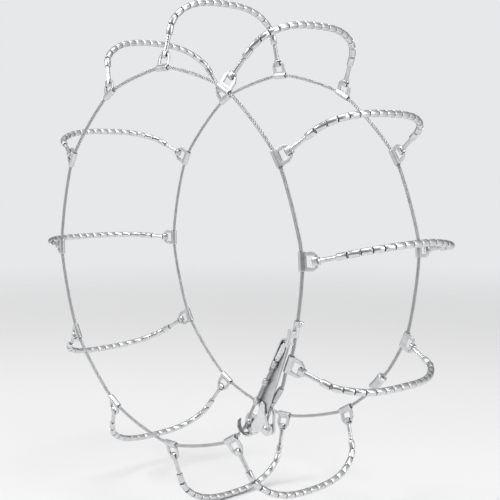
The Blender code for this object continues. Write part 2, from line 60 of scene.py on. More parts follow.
# ------------------------------------------------------------------------------------
# The same rules as the CAD: where the ring, the clips and the members lie (mm, degrees)
# ------------------------------------------------------------------------------------
RING_R, RING_OVAL, RING_OVAL_AT, RING_DIP = 267.3, 3.2, 147.0, 2.6
SIDE_Y, ROPE_R = 115.0, 2.4
MEMBERS, FIRST_ANGLE, PITCH_ANGLE = 12, 91.0, 30.0
OFF_PITCH = (-0.3, 0.5, 1.5, 3.0, 4.7, -0.2, 0.9, -0.2, -0.3, -0.6, -1.6, -1.9)
CROWN_WALK = (0.2, -1.1, 0.5, 2.4, 1.1, -1.3, 0.6, -0.5, 0.7, -0.6, 0.5, -0.4)
HOOK_TIP = (0.0, -7.0, 4.0, 10.0, 4.0, -8.0, 3.0, -3.0, 4.0, -4.0, 3.0, -3.0)
ARCH_HALF_W, ARCH_BASE_R, ARCH_RISE, ARCH_EXP_Y, ARCH_EXP_R = 106.0, 292.0, 73.0, 2.70, 2.385
LEAN = 15.0
CLIP_LEN, CLIP_BAR_AT = 24.5, 20.0
FERRULE_END, STRAIGHT = 28.0, 42.6
ROLLER_START, ROLLER_LEN, STRING_START, STRING_ROLLERS = 28.6, 13.6, 44.4, 16
PIVOT, LEVER_MID, LEVER_DIR = (215.0, -200.0), (225.8, -132.0), (0.424, 0.906)
BALL, BALL_Y, CUP_C, CUP_R = (175.0, -199.0), -115.4, (177.0, -202.0), 15.5
FERRULE_A, FERRULE_B = (233.6, -144.6), (219.6, -163.4)
LEAN_C, LEAN_S = math.cos(math.radians(LEAN)), math.sin(math.radians(LEAN))


def member_angle(k):
    return FIRST_ANGLE - PITCH_ANGLE * k + OFF_PITCH[k]


def ring_radius(angle):
    return RING_R + RING_OVAL * math.cos(2 * math.radians(angle - RING_OVAL_AT))


def wheel_frame(angle):
    q = math.radians(angle)
    return (np.array((math.cos(q), 0, math.sin(q))), np.array((0, 1.0, 0)), np.array((-math.sin(q), 0, math.cos(q))))


def half_profile(bar_r):
    y0 = -SIDE_Y + CLIP_BAR_AT * LEAN_S
    end = (y0 + STRAIGHT * LEAN_S, bar_r + STRAIGHT * LEAN_C)

    def arch(t):
        return (-ARCH_HALF_W * math.cos(t) ** (2 / ARCH_EXP_Y), ARCH_BASE_R + ARCH_RISE * math.sin(t) ** (2 / ARCH_EXP_R))
    t = 0.3
    while arch(t)[1] < 348.0:
        t += 0.002
    p2, q = arch(t), arch(t + 0.01)
    d2 = (q[0] - p2[0], q[1] - p2[1])
    det = LEAN_S * d2[1] - LEAN_C * d2[0]
    u = ((p2[0] - end[0]) * d2[1] - (p2[1] - end[1]) * d2[0]) / det
    c = (end[0] + LEAN_S * u, end[1] + LEAN_C * u)
    pts = [(y0, bar_r), end]
    for i in range(1, 21):
        s = i / 20
        pts.append(tuple((1 - s) ** 2 * end[j] + 2 * s * (1 - s) * c[j] + s * s * p2[j] for j in (0, 1)))
    for i in range(1, 41):
        pts.append(arch(t + (math.pi / 2 - t) * i / 40) if i < 40 else (0.0, ARCH_BASE_R + ARCH_RISE))
    return pts


class Route:
    """A member's centre line in world metres, by distance from the outer bar."""

    def __init__(self, k):
        self.angle = member_angle(k)
        self.rad, self.ax, self.tan = wheel_frame(self.angle)
        self.bar_r = ring_radius(self.angle) + CLIP_BAR_AT * LEAN_C
        half = half_profile(self.bar_r)
        self.flat = half + [(-y, r) for y, r in reversed(half[:-1])]
        self.at = [0.0]
        for a, b in zip(self.flat, self.flat[1:]):
            self.at.append(self.at[-1] + math.hypot(b[0] - a[0], b[1] - a[1]))
        self.length = self.at[-1]
        self.crown = (ARCH_BASE_R + ARCH_RISE) * math.radians(CROWN_WALK[k])
        self.tip_out = math.tan(math.radians(HOOK_TIP[k]))
        self.tip_in = math.tan(math.radians(HOOK_TIP[k] * 0.5))

    def side(self, s):
        mid = self.length / 2
        slope, s = (self.tip_out, s) if s <= mid else (self.tip_in, self.length - s)
        if s <= STRAIGHT:
            return s * slope
        span = mid - STRAIGHT
        f = (s - STRAIGHT) / span
        h = 2 * f ** 3 - 3 * f ** 2 + 1
        return h * STRAIGHT * slope + (f ** 3 - 2 * f ** 2 + f) * span * slope + (1 - h) * self.crown

    def point(self, s):
        s = min(max(s, 0.0), self.length)
        i = int(np.searchsorted(self.at, s, side='right')) - 1
        i = min(max(i, 0), len(self.at) - 2)
        f = (s - self.at[i]) / (self.at[i + 1] - self.at[i])
        y = self.flat[i][0] * (1 - f) + self.flat[i + 1][0] * f
        r = self.flat[i][1] * (1 - f) + self.flat[i + 1][1] * f
        return (self.rad * r + self.ax * y + self.tan * self.side(s)) * MM


def ring_points(angles, side, start=(), end=()):
    pts, half = [], CLIP_LEN / 2 + 1.0
    for i, q in enumerate(angles):
        rad, ax, tan = wheel_frame(q)
        c = (rad * ring_radius(q) + ax * SIDE_Y * side) * MM
        pts += [c + tan * half * MM, c - tan * half * MM]
        if i + 1 < len(angles):
            lead = math.degrees(half / RING_R)
            q0, q1 = q - lead, angles[i + 1] + lead
            r0, r1 = math.hypot(ring_radius(q), half), math.hypot(ring_radius(angles[i + 1]), half)
            for j in range(1, 5):
                f = j / 5
                rr = r0 * (1 - f) + r1 * f - RING_DIP * math.sin(math.pi * f)
                d = wheel_frame(q0 + (q1 - q0) * f)[0]
                pts.append((d * rr + ax * SIDE_Y * side) * MM)
    return list(start) + pts + list(end)


ANGLES = [member_angle(k) for k in range(MEMBERS)]
ORDER = [ANGLES[5 + i] if 5 + i < MEMBERS else ANGLES[5 + i - MEMBERS] - 360.0 for i in range(MEMBERS)]

# ------------------------------------------------------------------------------------
# Mesh making
# ------------------------------------------------------------------------------------


def unit(v):
    v = np.asarray(v, float)
    return v / np.linalg.norm(v)


def smooth_curve(points, step):
    """Centripetal Catmull-Rom through the points, resampled at an even step."""
    P = [np.asarray(p, float) for p in points]
    P = [2 * P[0] - P[1]] + P + [2 * P[-1] - P[-2]]
    out = []
    for i in range(1, len(P) - 2):
        p0, p1, p2, p3 = P[i - 1:i + 3]
        t0 = 0.0
        t1 = t0 + math.sqrt(np.linalg.norm(p1 - p0))
        t2 = t1 + math.sqrt(np.linalg.norm(p2 - p1))
        t3 = t2 + math.sqrt(np.linalg.norm(p3 - p2))
        n = max(4, int(np.linalg.norm(p2 - p1) / step))
        for t in np.linspace(t1, t2, n, endpoint=False):
            a1 = (t1 - t) / (t1 - t0) * p0 + (t - t0) / (t1 - t0) * p1
            a2 = (t2 - t) / (t2 - t1) * p1 + (t - t1) / (t2 - t1) * p2
            a3 = (t3 - t) / (t3 - t2) * p2 + (t - t2) / (t3 - t2) * p3
            b1 = (t2 - t) / (t2 - t0) * a1 + (t - t0) / (t2 - t0) * a2
            b2 = (t3 - t) / (t3 - t1) * a2 + (t - t1) / (t3 - t1) * a3
            out.append((t2 - t) / (t2 - t1) * b1 + (t - t1) / (t2 - t1) * b2)
    out.append(P[-2])
    out = np.array(out)
    return resample(out, step)


def resample(line, step):
    line = np.asarray(line, float)
    d = np.concatenate([[0], np.cumsum(np.linalg.norm(np.diff(line, axis=0), axis=1))])
    n = max(2, int(round(d[-1] / step)) + 1)
    s = np.linspace(0, d[-1], n)
    return np.stack([np.interp(s, d, line[:, k]) for k in range(3)], 1), s


def frames_along(line, up):
    """Tangent and two normals at each point; the frame is carried along without twist."""
    n = len(line)
    T = np.zeros_like(line)
    T[1:-1] = line[2:] - line[:-2]
    T[0], T[-1] = line[1] - line[0], line[-1] - line[-2]
    T /= np.linalg.norm(T, axis=1)[:, None]
    A = np.zeros_like(line)
    a = np.asarray(up, float)
    for i in range(n):
        a = a - T[i] * a.dot(T[i])
        a /= np.linalg.norm(a)
        A[i] = a
    return T, A, np.cross(T, A)


class Builder:
    """Gathers grids and polygons into one mesh, with a UV map."""

    def __init__(self):
        self.v, self.f, self.uv, self.n = [], [], [], 0

    def verts(self, P):
        P = np.asarray(P, float).reshape(-1, 3)
        self.v.append(P)
        o = self.n
        self.n += len(P)
        return o

    def grid(self, P, closed=True, caps=(False, False), U=None, V=None, flip=False):
        """P[i, j]: i along, j around.  U[i], V[i, j] give the UV map."""
        n, m = P.shape[:2]
        o = self.verts(P)
        if U is None:
            U = np.arange(n) / 10.0
        if V is None:
            V = np.tile(np.arange(m + 1) / m, (n, 1))
        for i in range(n - 1):
            for j in range(m if closed else m - 1):
                k = (j + 1) % m
                q = (o + i * m + j, o + i * m + k, o + (i + 1) * m + k, o + (i + 1) * m + j)
                w = ((U[i], V[i, j]), (U[i], V[i, j + 1]), (U[i + 1], V[i + 1, j + 1]), (U[i + 1], V[i + 1, j]))
                if flip:
                    q, w = q[::-1], w[::-1]
                self.f.append(q)
                self.uv.append(w)
        for end, want in enumerate(caps):
            if want:
                row = 0 if end == 0 else n - 1
                q = tuple(o + row * m + j for j in range(m))
                w = tuple((U[row], V[row, j]) for j in range(m))
                if (end == 0) != flip:
                    q, w = q[::-1], w[::-1]
                self.f.append(q)
                self.uv.append(w)
        return o

    def mesh(self, name):
        me = bpy.data.meshes.new(name)
        V = np.concatenate(self.v)
        me.from_pydata(V.tolist(), [], self.f)
        lay = me.uv_layers.new(name='own')
        lay.uv.foreach_set('vector', np.array([c for w in self.uv for c in w], np.float32).ravel())
        return me


def add(name, me, mat, body, sharp=38, matrix=None):
    ob = bpy.data.objects.new(name, me)
    bpy.context.scene.collection.objects.link(ob)
    if matrix is not None:
        ob.matrix_world = matrix
    if not me.materials:
        me.materials.append(mat)
    me.shade_smooth()
    me.set_sharp_from_angle(angle=math.radians(sharp))
    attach(ob, body)
    return ob


def fix_normals(me):
    bm = bmesh.new()
    bm.from_mesh(me)
    bmesh.ops.remove_doubles(bm, verts=bm.verts, dist=2e-7)
    bmesh.ops.dissolve_degenerate(bm, edges=bm.edges, dist=2e-7)
    bmesh.ops.recalc_face_normals(bm, faces=bm.faces)
    bm.to_mesh(me)
    bm.free()
    return me


def with_modifiers(me, mods):
    """A mesh with modifiers applied."""
    ob = bpy.data.objects.new('tmp', me)
    bpy.context.scene.collection.objects.link(ob)
    for kind, values in mods:
        m = ob.modifiers.new(kind, kind)
        for k, v in values.items():
            setattr(m, k, v)
    bpy.context.view_layer.update()
    dg = bpy.context.evaluated_depsgraph_get()
    out = bpy.data.meshes.new_from_object(ob.evaluated_get(dg))
    bpy.data.objects.remove(ob, do_unlink=True)
    return out


BEVEL = ('BEVEL', {'width': 0.0003, 'segments': 2, 'limit_method': 'ANGLE', 'angle_limit': math.radians(50), 'harden_normals': False})


def bevel(width, segments=2, angle=50):
    return ('BEVEL', {'width': width * MM, 'segments': segments, 'limit_method': 'ANGLE', 'angle_limit': math.radians(angle)})


def slab_mesh(outline, o, ax, ay, an, low, high, hole=None):
    """A flat outline thickened along the third axis, all in mm; a hole has as many points as the outline or none."""
    bm = bmesh.new()
    o, ax, ay, an = (np.asarray(q, float) for q in (o, ax, ay, an))

    def loop(pts, h):
        return [bm.verts.new(Vector((o + (ax * x + ay * y + an * h)) * MM)) for x, y in pts]
    lo, hi = loop(outline, low), loop(outline, high)
    n = len(outline)
    for k in range(n):
        bm.faces.new((lo[k], lo[(k + 1) % n], hi[(k + 1) % n], hi[k]))
    if hole is None:
        bm.faces.new(list(reversed(lo)))
        bm.faces.new(hi)
    else:
        li, hh = loop(hole, low), loop(hole, high)
        for k in range(n):
            j = (k + 1) % n
            bm.faces.new((li[j], li[k], hh[k], hh[j]))
            bm.faces.new((hi[k], hi[j], hh[j], hh[k]))
            bm.faces.new((lo[j], lo[k], li[k], li[j]))
    bmesh.ops.recalc_face_normals(bm, faces=bm.faces)
    me = bpy.data.meshes.new('slab')
    bm.to_mesh(me)
    bm.free()
    return me


def joined(meshes, name):
    """Several meshes as one, each shell kept."""
    bm = bmesh.new()
    for me in meshes:
        bm.from_mesh(me)
    bmesh.ops.dissolve_degenerate(bm, edges=bm.edges, dist=3e-6)
    out = bpy.data.meshes.new(name)
    bm.to_mesh(out)
    bm.free()
    return out


def round_line(pts, n=6):
    """A closed outline rounded with a Catmull-Rom curve."""
    P = [np.array(p, float) for p in pts]
    m = len(P)
    out = []
    for i in range(m):
        p0, p1, p2, p3 = P[i - 1], P[i], P[(i + 1) % m], P[(i + 2) % m]
        for t in np.linspace(0, 1, n, endpoint=False):
            out.append(tuple(0.5 * (2 * p1 + (p2 - p0) * t + (2 * p0 - 5 * p1 + 4 * p2 - p3) * t * t + (3 * p1 - p0 - 3 * p2 + p3) * t ** 3)))
    return out


def cut_corners(pts, r, n=4):
    """A closed polygon with each corner turned into a small arc."""
    P = [np.array(p, float) for p in pts]
    m = len(P)
    out = []
    for i in range(m):
        a, b, c = P[i - 1], P[i], P[(i + 1) % m]
        ra = min(r, 0.45 * np.linalg.norm(a - b), 0.45 * np.linalg.norm(c - b))
        s, e = b + unit(a - b) * ra, b + unit(c - b) * ra
        for t in np.linspace(0, 1, n):
            out.append(tuple((1 - t) ** 2 * s + 2 * t * (1 - t) * b + t * t * e))
    return out


def arc(cx, cy, r, a0, a1, n):
    return [(cx + r * math.cos(math.radians(a0 + (a1 - a0) * i / n)), cy + r * math.sin(math.radians(a0 + (a1 - a0) * i / n))) for i in range(n + 1)]


# ------------------------------------------------------------------------------------
# Materials
# ------------------------------------------------------------------------------------


class Nodes:
    def __init__(self, name):
        self.m = bpy.data.materials.new(name)
        self.m.use_nodes = True
        self.t = self.m.node_tree
        self.b = self.t.nodes['Principled BSDF']

    def new(self, kind, **kw):
        n = self.t.nodes.new(kind)
        for k, v in kw.items():
            setattr(n, k, v)
        return n

    def link(self, a, b):
        self.t.links.new(a, b)

    def noise(self, co, scale, detail=4.0, rough=0.55, stretch=None):
        n = self.new('ShaderNodeTexNoise')
        n.inputs['Scale'].default_value = scale
        n.inputs['Detail'].default_value = detail
        n.inputs['Roughness'].default_value = rough
        if stretch is not None:
            mp = self.new('ShaderNodeMapping')
            mp.inputs['Scale'].default_value = stretch
            self.link(co, mp.inputs['Vector'])
            co = mp.outputs['Vector']
        self.link(co, n.inputs['Vector'])
        return n.outputs['Fac']

    def ramp(self, src, stops):
        r = self.new('ShaderNodeValToRGB')
        while len(r.color_ramp.elements) < len(stops):
            r.color_ramp.elements.new(0.5)
        for e, (p, c) in zip(r.color_ramp.elements, stops):
            e.position = p
            e.color = (*c, 1.0) if isinstance(c, (tuple, list)) else (c, c, c, 1.0)
        self.link(src, r.inputs['Fac'])
        return r.outputs['Color']

    def mix(self, fac, a, b, blend='MIX'):
        m = self.new('ShaderNodeMix', data_type='RGBA', blend_type=blend)
        for s, v in ((m.inputs[0], fac), (m.inputs[6], a), (m.inputs[7], b)):
            if hasattr(v, 'is_linked') or hasattr(v, 'links'):
                self.link(v, s)
            elif isinstance(v, (int, float)) and s is not m.inputs[0]:
                s.default_value = (v, v, v, 1.0)
            elif isinstance(v, (int, float)):
                s.default_value = v
            else:
                s.default_value = (*v, 1.0)
        return m.outputs[2]

    def math(self, op, a, b=None, clamp=False):
        m = self.new('ShaderNodeMath', operation=op, use_clamp=clamp)
        for s, v in ((m.inputs[0], a), (m.inputs[1], b)):
            if v is None:
                continue
            if isinstance(v, (int, float)):
                s.default_value = v
            else:
                self.link(v, s)
        return m.outputs[0]


def zinc(name, base, rough, grain=(1, 1, 1), shade_amount=0.5, bump=0.25, blotch=0.10, rope=False, draw=0.0):
    """Zinc-plated steel: cloudy plating, fine handling scratches, bright rubbed edges, and painted shade that darkens
    the corners and hollows.
    """
    N = Nodes(name)
    co = N.new('ShaderNodeTexCoord').outputs['Object']
    cloud = N.noise(co, 95.0, 5.0, 0.62)
    fine = N.noise(co, 1500.0, 3.0, 0.6)
    lines = N.noise(co, 900.0, 2.0, 0.5, stretch=grain)
    dark = tuple(c * (1 - blotch * 2.2) for c in base)
    lite = tuple(min(1.0, c * (1 + blotch)) for c in base)
    col = N.ramp(cloud, [(0.30, dark), (0.52, base), (0.72, lite)])
    speck = N.ramp(N.noise(co, 420.0, 4.0, 0.7), [(0.60, 0.0), (0.74, 1.0)])
    col = N.mix(N.math('MULTIPLY', speck, 0.22), col, tuple(c * 0.62 for c in base))
    geo = N.new('ShaderNodeNewGeometry')
    edge = N.ramp(geo.outputs['Pointiness'], [(0.505, 0.0), (0.56, 1.0)])
    # painted shade: concave places (low pointiness) and places the ambient-occlusion node finds shut in are darkened
    # in the colour, in place of the shade that falls there
    hollow_shade = N.ramp(geo.outputs['Pointiness'], [(0.42, 1.0), (0.495, 0.0)])
    ao = N.new('ShaderNodeAmbientOcclusion', samples=6)
    ao.inputs['Distance'].default_value = 0.004
    corner = N.ramp(ao.outputs['AO'], [(0.25, 1.0), (0.85, 0.0)])
    occlusion_shade = N.math('MAXIMUM', N.math('MULTIPLY', hollow_shade, 0.55), corner)
    occlusion_shade = N.math('MULTIPLY', occlusion_shade, N.math('ADD', N.math('MULTIPLY', cloud, 0.6), 0.45))
    # painted shade: the corner and hollow mask pulls the colour towards near-black
    col = N.mix(N.math('MULTIPLY', occlusion_shade, shade_amount, clamp=True), col, (0.10, 0.10, 0.105))
    col = N.mix(N.math('MULTIPLY', edge, 0.55), col, tuple(min(1.0, c * 1.18) for c in base))
    N.link(col, N.b.inputs['Base Color'])
    N.b.inputs['Metallic'].default_value = 1.0
    r = N.math('ADD', N.math('MULTIPLY', cloud, 0.16), rough - 0.08)
    r = N.math('ADD', r, N.math('MULTIPLY', lines, 0.10))
    r = N.math('SUBTRACT', r, N.math('MULTIPLY', edge, 0.08))
    r = N.math('ADD', r, N.math('MULTIPLY', occlusion_shade, 0.30), clamp=True)
    N.link(r, N.b.inputs['Roughness'])
    h = N.math('ADD', N.math('MULTIPLY', fine, 0.35), N.math('MULTIPLY', lines, 0.65 + draw))
    bp = N.new('ShaderNodeBump')
    bp.inputs['Strength'].default_value = bump
    bp.inputs['Distance'].default_value = 0.00012
    N.link(h, bp.inputs['Height'])
    out = bp.outputs['Normal']
    if rope:
        # the single wires of each strand, which run nearly along a regular-lay rope
        uv = N.new('ShaderNodeUVMap', uv_map='own').outputs['UV']
        sep = N.new('ShaderNodeSeparateXYZ')
        N.link(uv, sep.inputs[0])
        ph = N.math('ADD', N.math('MULTIPLY', sep.outputs['Y'], 2 * math.pi * 27), N.math('MULTIPLY', sep.outputs['X'], 0.9))
        w = N.math('ABSOLUTE', N.math('SINE', N.math('MULTIPLY', ph, 0.5)))
        wires = N.new('ShaderNodeBump')
        wires.inputs['Strength'].default_value = 0.85
        wires.inputs['Distance'].default_value = 0.00022
        N.link(w, wires.inputs['Height'])
        N.link(bp.outputs['Normal'], wires.inputs['Normal'])
        out = wires.outputs['Normal']
        # painted shade: the grooves between the wires are darkened in the colour, in place of the shade that falls
        # between them
        groove_shade = N.ramp(w, [(0.0, 1.0), (0.35, 0.0)])
        col2 = N.mix(N.math('MULTIPLY', groove_shade, 0.55), col, (0.16, 0.16, 0.165))
        N.link(col2, N.b.inputs['Base Color'])
    N.link(out, N.b.inputs['Normal'])
    return N.m


# each material below also sets how strongly painted shade darkens its corners and hollows
M_ROPE = zinc('rope_steel', (0.66, 0.665, 0.68), 0.34, shade_amount=0.7, rope=True)
M_ROLL = zinc('roller_steel', (0.70, 0.705, 0.715), 0.25, grain=(1, 1, 1), shade_amount=0.75, bump=0.30, blotch=0.07)
M_HOOK = zinc('hook_steel', (0.66, 0.665, 0.68), 0.28, shade_amount=0.8, bump=0.35)
M_CLIP = zinc('clip_steel', (0.70, 0.705, 0.715), 0.30, shade_amount=0.75, bump=0.32, blotch=0.08)
M_LEVER = zinc('lever_steel', (0.60, 0.605, 0.62), 0.33, grain=(0.25, 1, 0.06), shade_amount=0.7, bump=0.40, blotch=0.12, draw=0.25)
M_PLATE = zinc('plate_steel', (0.74, 0.745, 0.755), 0.24, shade_amount=0.6, bump=0.22, blotch=0.06)
M_FERR = zinc('ferrule_steel', (0.62, 0.625, 0.64), 0.32, shade_amount=0.9, bump=0.3)

# ------------------------------------------------------------------------------------
# Wire rope: six strands laid round a core, as one lobed surface
# ------------------------------------------------------------------------------------


def rope_grid(B, line, s, radius, lay, up, per=6, strands=6, taper=0.0006, phase=0.0):
    a = radius / 3.0
    b = radius - a
    m = strands * per
    phi = np.arange(m) / m * 2 * math.pi
    psi = (phi + math.pi / strands) % (2 * math.pi / strands) - math.pi / strands
    env = b * np.cos(psi) + np.sqrt(np.maximum(a * a - (b * np.sin(psi)) ** 2, 0))
    T, A, C = frames_along(line, up)
    tw = 2 * math.pi * s / lay + phase
    ang = phi[None, :] + tw[:, None]
    r = np.tile(env, (len(s), 1))
    if taper:
        e = np.minimum(s, s[-1] - s)
        f = np.clip(e / taper, 0, 1)
        r = r * np.sqrt(1 - (1 - f) ** 2 * 0.8)[:, None]
    P = line[:, None, :] + r[:, :, None] * (np.cos(ang)[:, :, None] * A[:, None, :] + np.sin(ang)[:, :, None] * C[:, None, :])
    U = s / MM
    V = (np.arange(m + 1) / m)[None, :] + (tw / (2 * math.pi))[:, None]
    B.grid(P, True, (True, True), U, V)


def rope(name, points, radius, lay, up, body, step=1.5, per=6, smooth=True):
    line, s = smooth_curve(points, step * MM) if smooth else resample(points, step * MM)
    B = Builder()
    rope_grid(B, line, s, radius * MM, lay * MM, up, per)
    return add(name, B.mesh(name), M_ROPE, body, sharp=60)


def xz(p, y):
    return np.array((p[0], y, p[1])) * MM


fa, fb = xz(FERRULE_A, -SIDE_Y), xz(FERRULE_B, -SIDE_Y)
fdir = unit(fb - fa)
ball = xz(BALL, BALL_Y)
outer_pts = ring_points(ORDER, -1, [ball], [fa - fdir * 0.001, fb - fdir * 0.0015])
r_out = rope('outer_rope', outer_pts, ROPE_R, 31.0, (0, 1, 0), 'chain_frame')

gap_a, gap_b = ANGLES[5] + 11.0, ANGLES[4] - 12.0
ca = (wheel_frame(gap_a)[0] * ring_radius(gap_a) + np.array((0, SIDE_Y, 0))) * MM
cb = (wheel_frame(gap_b)[0] * ring_radius(gap_b) + np.array((0, SIDE_Y, 0))) * MM
cdir = unit(cb - ca)
mid = (ca + cb) / 2
inner_pts = ring_points(ORDER, 1, [mid - cdir * 0.0012, ca], [cb, mid + cdir * 0.0105])
r_in = rope('inner_rope', inner_pts, ROPE_R, 31.0, (0, 1, 0), 'chain_frame')

# ------------------------------------------------------------------------------------
# Rollers: short tubes rolled from strip, with an open seam
# ------------------------------------------------------------------------------------


def roller(B, centre, direction, up, length, r_o, r_i, turn, wob, n=26):
    d = unit(direction)
    a = unit(np.asarray(up) - d * np.dot(up, d))
    c = np.cross(d, a)
    h = length / 2
    prof = [(-h, r_i + 0.28), (-h, r_o - 0.50), (-h + 0.14, r_o - 0.17), (-h + 0.50, r_o), (0, r_o), (h - 0.50, r_o),
            (h - 0.14, r_o - 0.17), (h, r_o - 0.50), (h, r_i + 0.28), (h - 0.28, r_i), (-h + 0.28, r_i)]
    g = 0.15 / r_o
    # more stations near the seam, whose lips roll in a little
    ang = np.concatenate([[g, g + 0.05, g + 0.14], np.linspace(g + 0.28, 2 * math.pi - g - 0.28, n), [2 * math.pi - g - 0.14, 2 * math.pi - g - 0.05, 2 * math.pi - g]])
    m = len(prof)
    P = np.zeros((len(ang), m, 3))
    for i, q in enumerate(ang):
        lip = min(q - g, 2 * math.pi - g - q)
        sink = 0.24 * math.exp(-(lip / 0.08) ** 2)
        oval = 0.035 * math.cos(2 * q + wob) + 0.02 * math.cos(5 * q + 2.1 * wob)
        for j, (x, r) in enumerate(prof):
            rr = r + (oval if r > r_i + 0.6 else oval * 0.5) - (sink if r > r_i + 0.6 else -sink * 0.25)
            w = q + turn
            P[i, j] = centre + (d * x + (a * math.cos(w) + c * math.sin(w)) * rr) * MM
    U = ang * r_o
    V = np.tile(np.arange(m + 1) / m, (len(ang), 1))
    B.grid(P, True, (True, True), U, V)


rng = np.random.default_rng(7)
R_O, R_I = 4.55, 3.15

# ------------------------------------------------------------------------------------
# End hooks: an octagonal head curled round the clip's bar, and a swaged tube
# ------------------------------------------------------------------------------------


def hook_meshes(route, inner):
    s0 = route.length if inner else 0.0
    p = route.point(s0)
    q = route.point(route.length - 20 if inner else 20)
    d = unit(q - p)
    t = unit(route.tan - d * np.dot(route.tan, d))
    n = np.cross(d, t)
    if np.dot(n, (0, 1, 0)) * (-1 if inner else 1) < 0:
        n = -n                      # +n points at the tyre
        t = np.cross(n, d)
    A, Nn, c = 5.25, 4.0, 2.1
    # the curl: from the shank, over the front, round the bar's inner side, and back under it
    mouth = 0.9
    out = [(A, -Nn + c), (A, Nn - c - 0.2), (A - c * 0.6, Nn - 0.3), (A - 1.2, Nn)]
    back = [(A - 2.9, Nn), (-A + c, Nn), (-A, Nn - c), (-A, -Nn + c), (-A + c, -Nn), (A - c, -Nn)]
    ha, hn = 3.25, 2.0
    inner_hole = [(ha, -hn + 0.7), (ha - 0.7, -hn), (-ha + 0.7, -hn), (-ha, -hn + 0.7), (-ha, hn - 0.7), (-ha + 0.7, hn), (A - 2.9, hn)]
    poly = out[:1] + [(A, Nn - c)] + [(A - c * 0.55, Nn)] + [(A - 1.6, Nn), (A - 1.6, hn + 0.15)]
    poly += [(ha, hn - 0.25)] + inner_hole + [(A - 2.9, Nn)] + back[1:]
    bm = bmesh.new()
    loops = []
    for at, cut in ((-4.95, 1.15), (-3.3, 0.0), (3.3, 0.0), (4.95, 1.15)):
        ring = []
        for x, y in poly:
            if abs(x) > ha + 0.2:
                x = math.copysign(min(abs(x), A - cut), x)
            if abs(y) > hn + 0.3:
                y = math.copysign(min(abs(y), Nn - cut * 0.8), y)
            ring.append(bm.verts.new(Vector(p + (d * x + n * y + t * at) * MM)))
        loops.append(ring)
    for la, lb in zip(loops, loops[1:]):
        for i in range(len(poly)):
            j = (i + 1) % len(poly)
            bm.faces.new((la[i], la[j], lb[j], lb[i]))
    bm.faces.new(list(reversed(loops[0])))
    bm.faces.new(loops[-1])
    bmesh.ops.recalc_face_normals(bm, faces=bm.faces)
    me = bpy.data.meshes.new('head')
    bm.to_mesh(me)
    bm.free()
    head = with_modifiers(me, [bevel(0.32, 3, 30)])
    # the tube, eight soft flats, with two crimp rings near the rope
    B = Builder()
    m, st = 32, []
    L0, L1 = A - 0.6, FERRULE_END
    for x in np.linspace(L0, L1, 46):
        f = (x - L0) / (L1 - L0)
        r = 3.05 - 0.22 * f
        for cr in (0.50, 0.66, 0.82):
            r -= 0.26 * math.exp(-((f - cr) / 0.035) ** 2)
        st.append((x, r, 0.5 * (1 - f)))
    st[0:0] = [(L0 - 0.01, 2.0, 0.3)]
    st += [(L1 + 0.15, 2.62, 0.0), (L1 + 0.1, 2.45, 0.0), (L1 - 0.6, 2.42, 0.0)]
    P = np.zeros((len(st), m, 3))
    for i, (x, r, o8) in enumerate(st):
        for j in range(m):
            w = 2 * math.pi * j / m
            rr = r * (1 + 0.035 * (0.4 + o8) * math.cos(8 * w))
            seam = 0.28 * math.exp(-((((w - 2.2 + math.pi) % (2 * math.pi)) - math.pi) / 0.10) ** 2) if r > 2.5 else 0
            P[i, j] = p + (d * x + (t * math.cos(w) + n * math.sin(w)) * (rr - seam)) * MM
    B.grid(P, True, (True, True))
    tube = fix_normals(B.mesh('tube'))
    return head, tube


for k in range(MEMBERS):
    tag = '%02d' % (k + 1)
    body = 'member_' + tag
    R = Route(k)
    L = R.length
    # rope from tube to tube
    line = np.array([R.point(s) for s in np.arange(FERRULE_END - 3.0, L - FERRULE_END + 3.01, 1.0)])
    core = rope('member_rope_' + tag, line, ROPE_R, 31.0, R.tan, body, step=2.0, per=4, smooth=False)
    hooks = []
    for inner in (False, True):
        hooks += list(hook_meshes(R, inner))
    hk = add('hooks_' + tag, joined(hooks, 'hooks_' + tag), M_HOOK, body, 35)
    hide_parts('cross_cable_' + tag)
    # sixteen rollers on the string, one roller by itself
    a, b = STRING_START - 1.3, L - ROLLER_START + 0.3
    pitch = (b - a) / STRING_ROLLERS
    B = Builder()
    for i in range(STRING_ROLLERS):
        x0, x1 = a + pitch * i, a + pitch * (i + 1)
        dirs = [unit(R.point(x0 + pitch * (q + 1)) - R.point(x0 + pitch * q)) for q in (-1, 0, 1)]
        turn = max(math.acos(min(1.0, dirs[q].dot(dirs[q + 1]))) for q in (0, 1))
        ln = min(pitch - 0.85, pitch - 0.30 - R_O * turn)
        lo, hi = R.point(x0), R.point(x1)
        sag = (R.point((x0 + x1) / 2) - (lo + hi) / 2) * 0.35
        roller(B, (lo + hi) / 2 + sag, hi - lo, R.tan, ln, R_O, R_I, rng.uniform(0, 6.28), rng.uniform(0, 6.28))
    rs = add('rollers_' + tag, fix_normals(B.mesh('rollers_' + tag)), M_ROLL, body, 32)
    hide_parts('roller_string_' + tag)
    B = Builder()
    c = R.point(ROLLER_START + ROLLER_LEN / 2)
    roller(B, c, R.point(40.0) - R.point(0.0), R.tan, ROLLER_LEN - 0.15, R_O, R_I, rng.uniform(0, 6.28), rng.uniform(0, 6.28), 30)
    er = add('first_roller_' + tag, fix_normals(B.mesh('first_roller_' + tag)), M_ROLL, 'roller_' + tag, 32)
    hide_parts('end_roller_' + tag)

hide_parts('outer_side_cable')
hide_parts('inner_side_cable')

# ------------------------------------------------------------------------------------
# Clips: one strip folded round the cable, its two layers cut to a frame with a far bar
# ------------------------------------------------------------------------------------


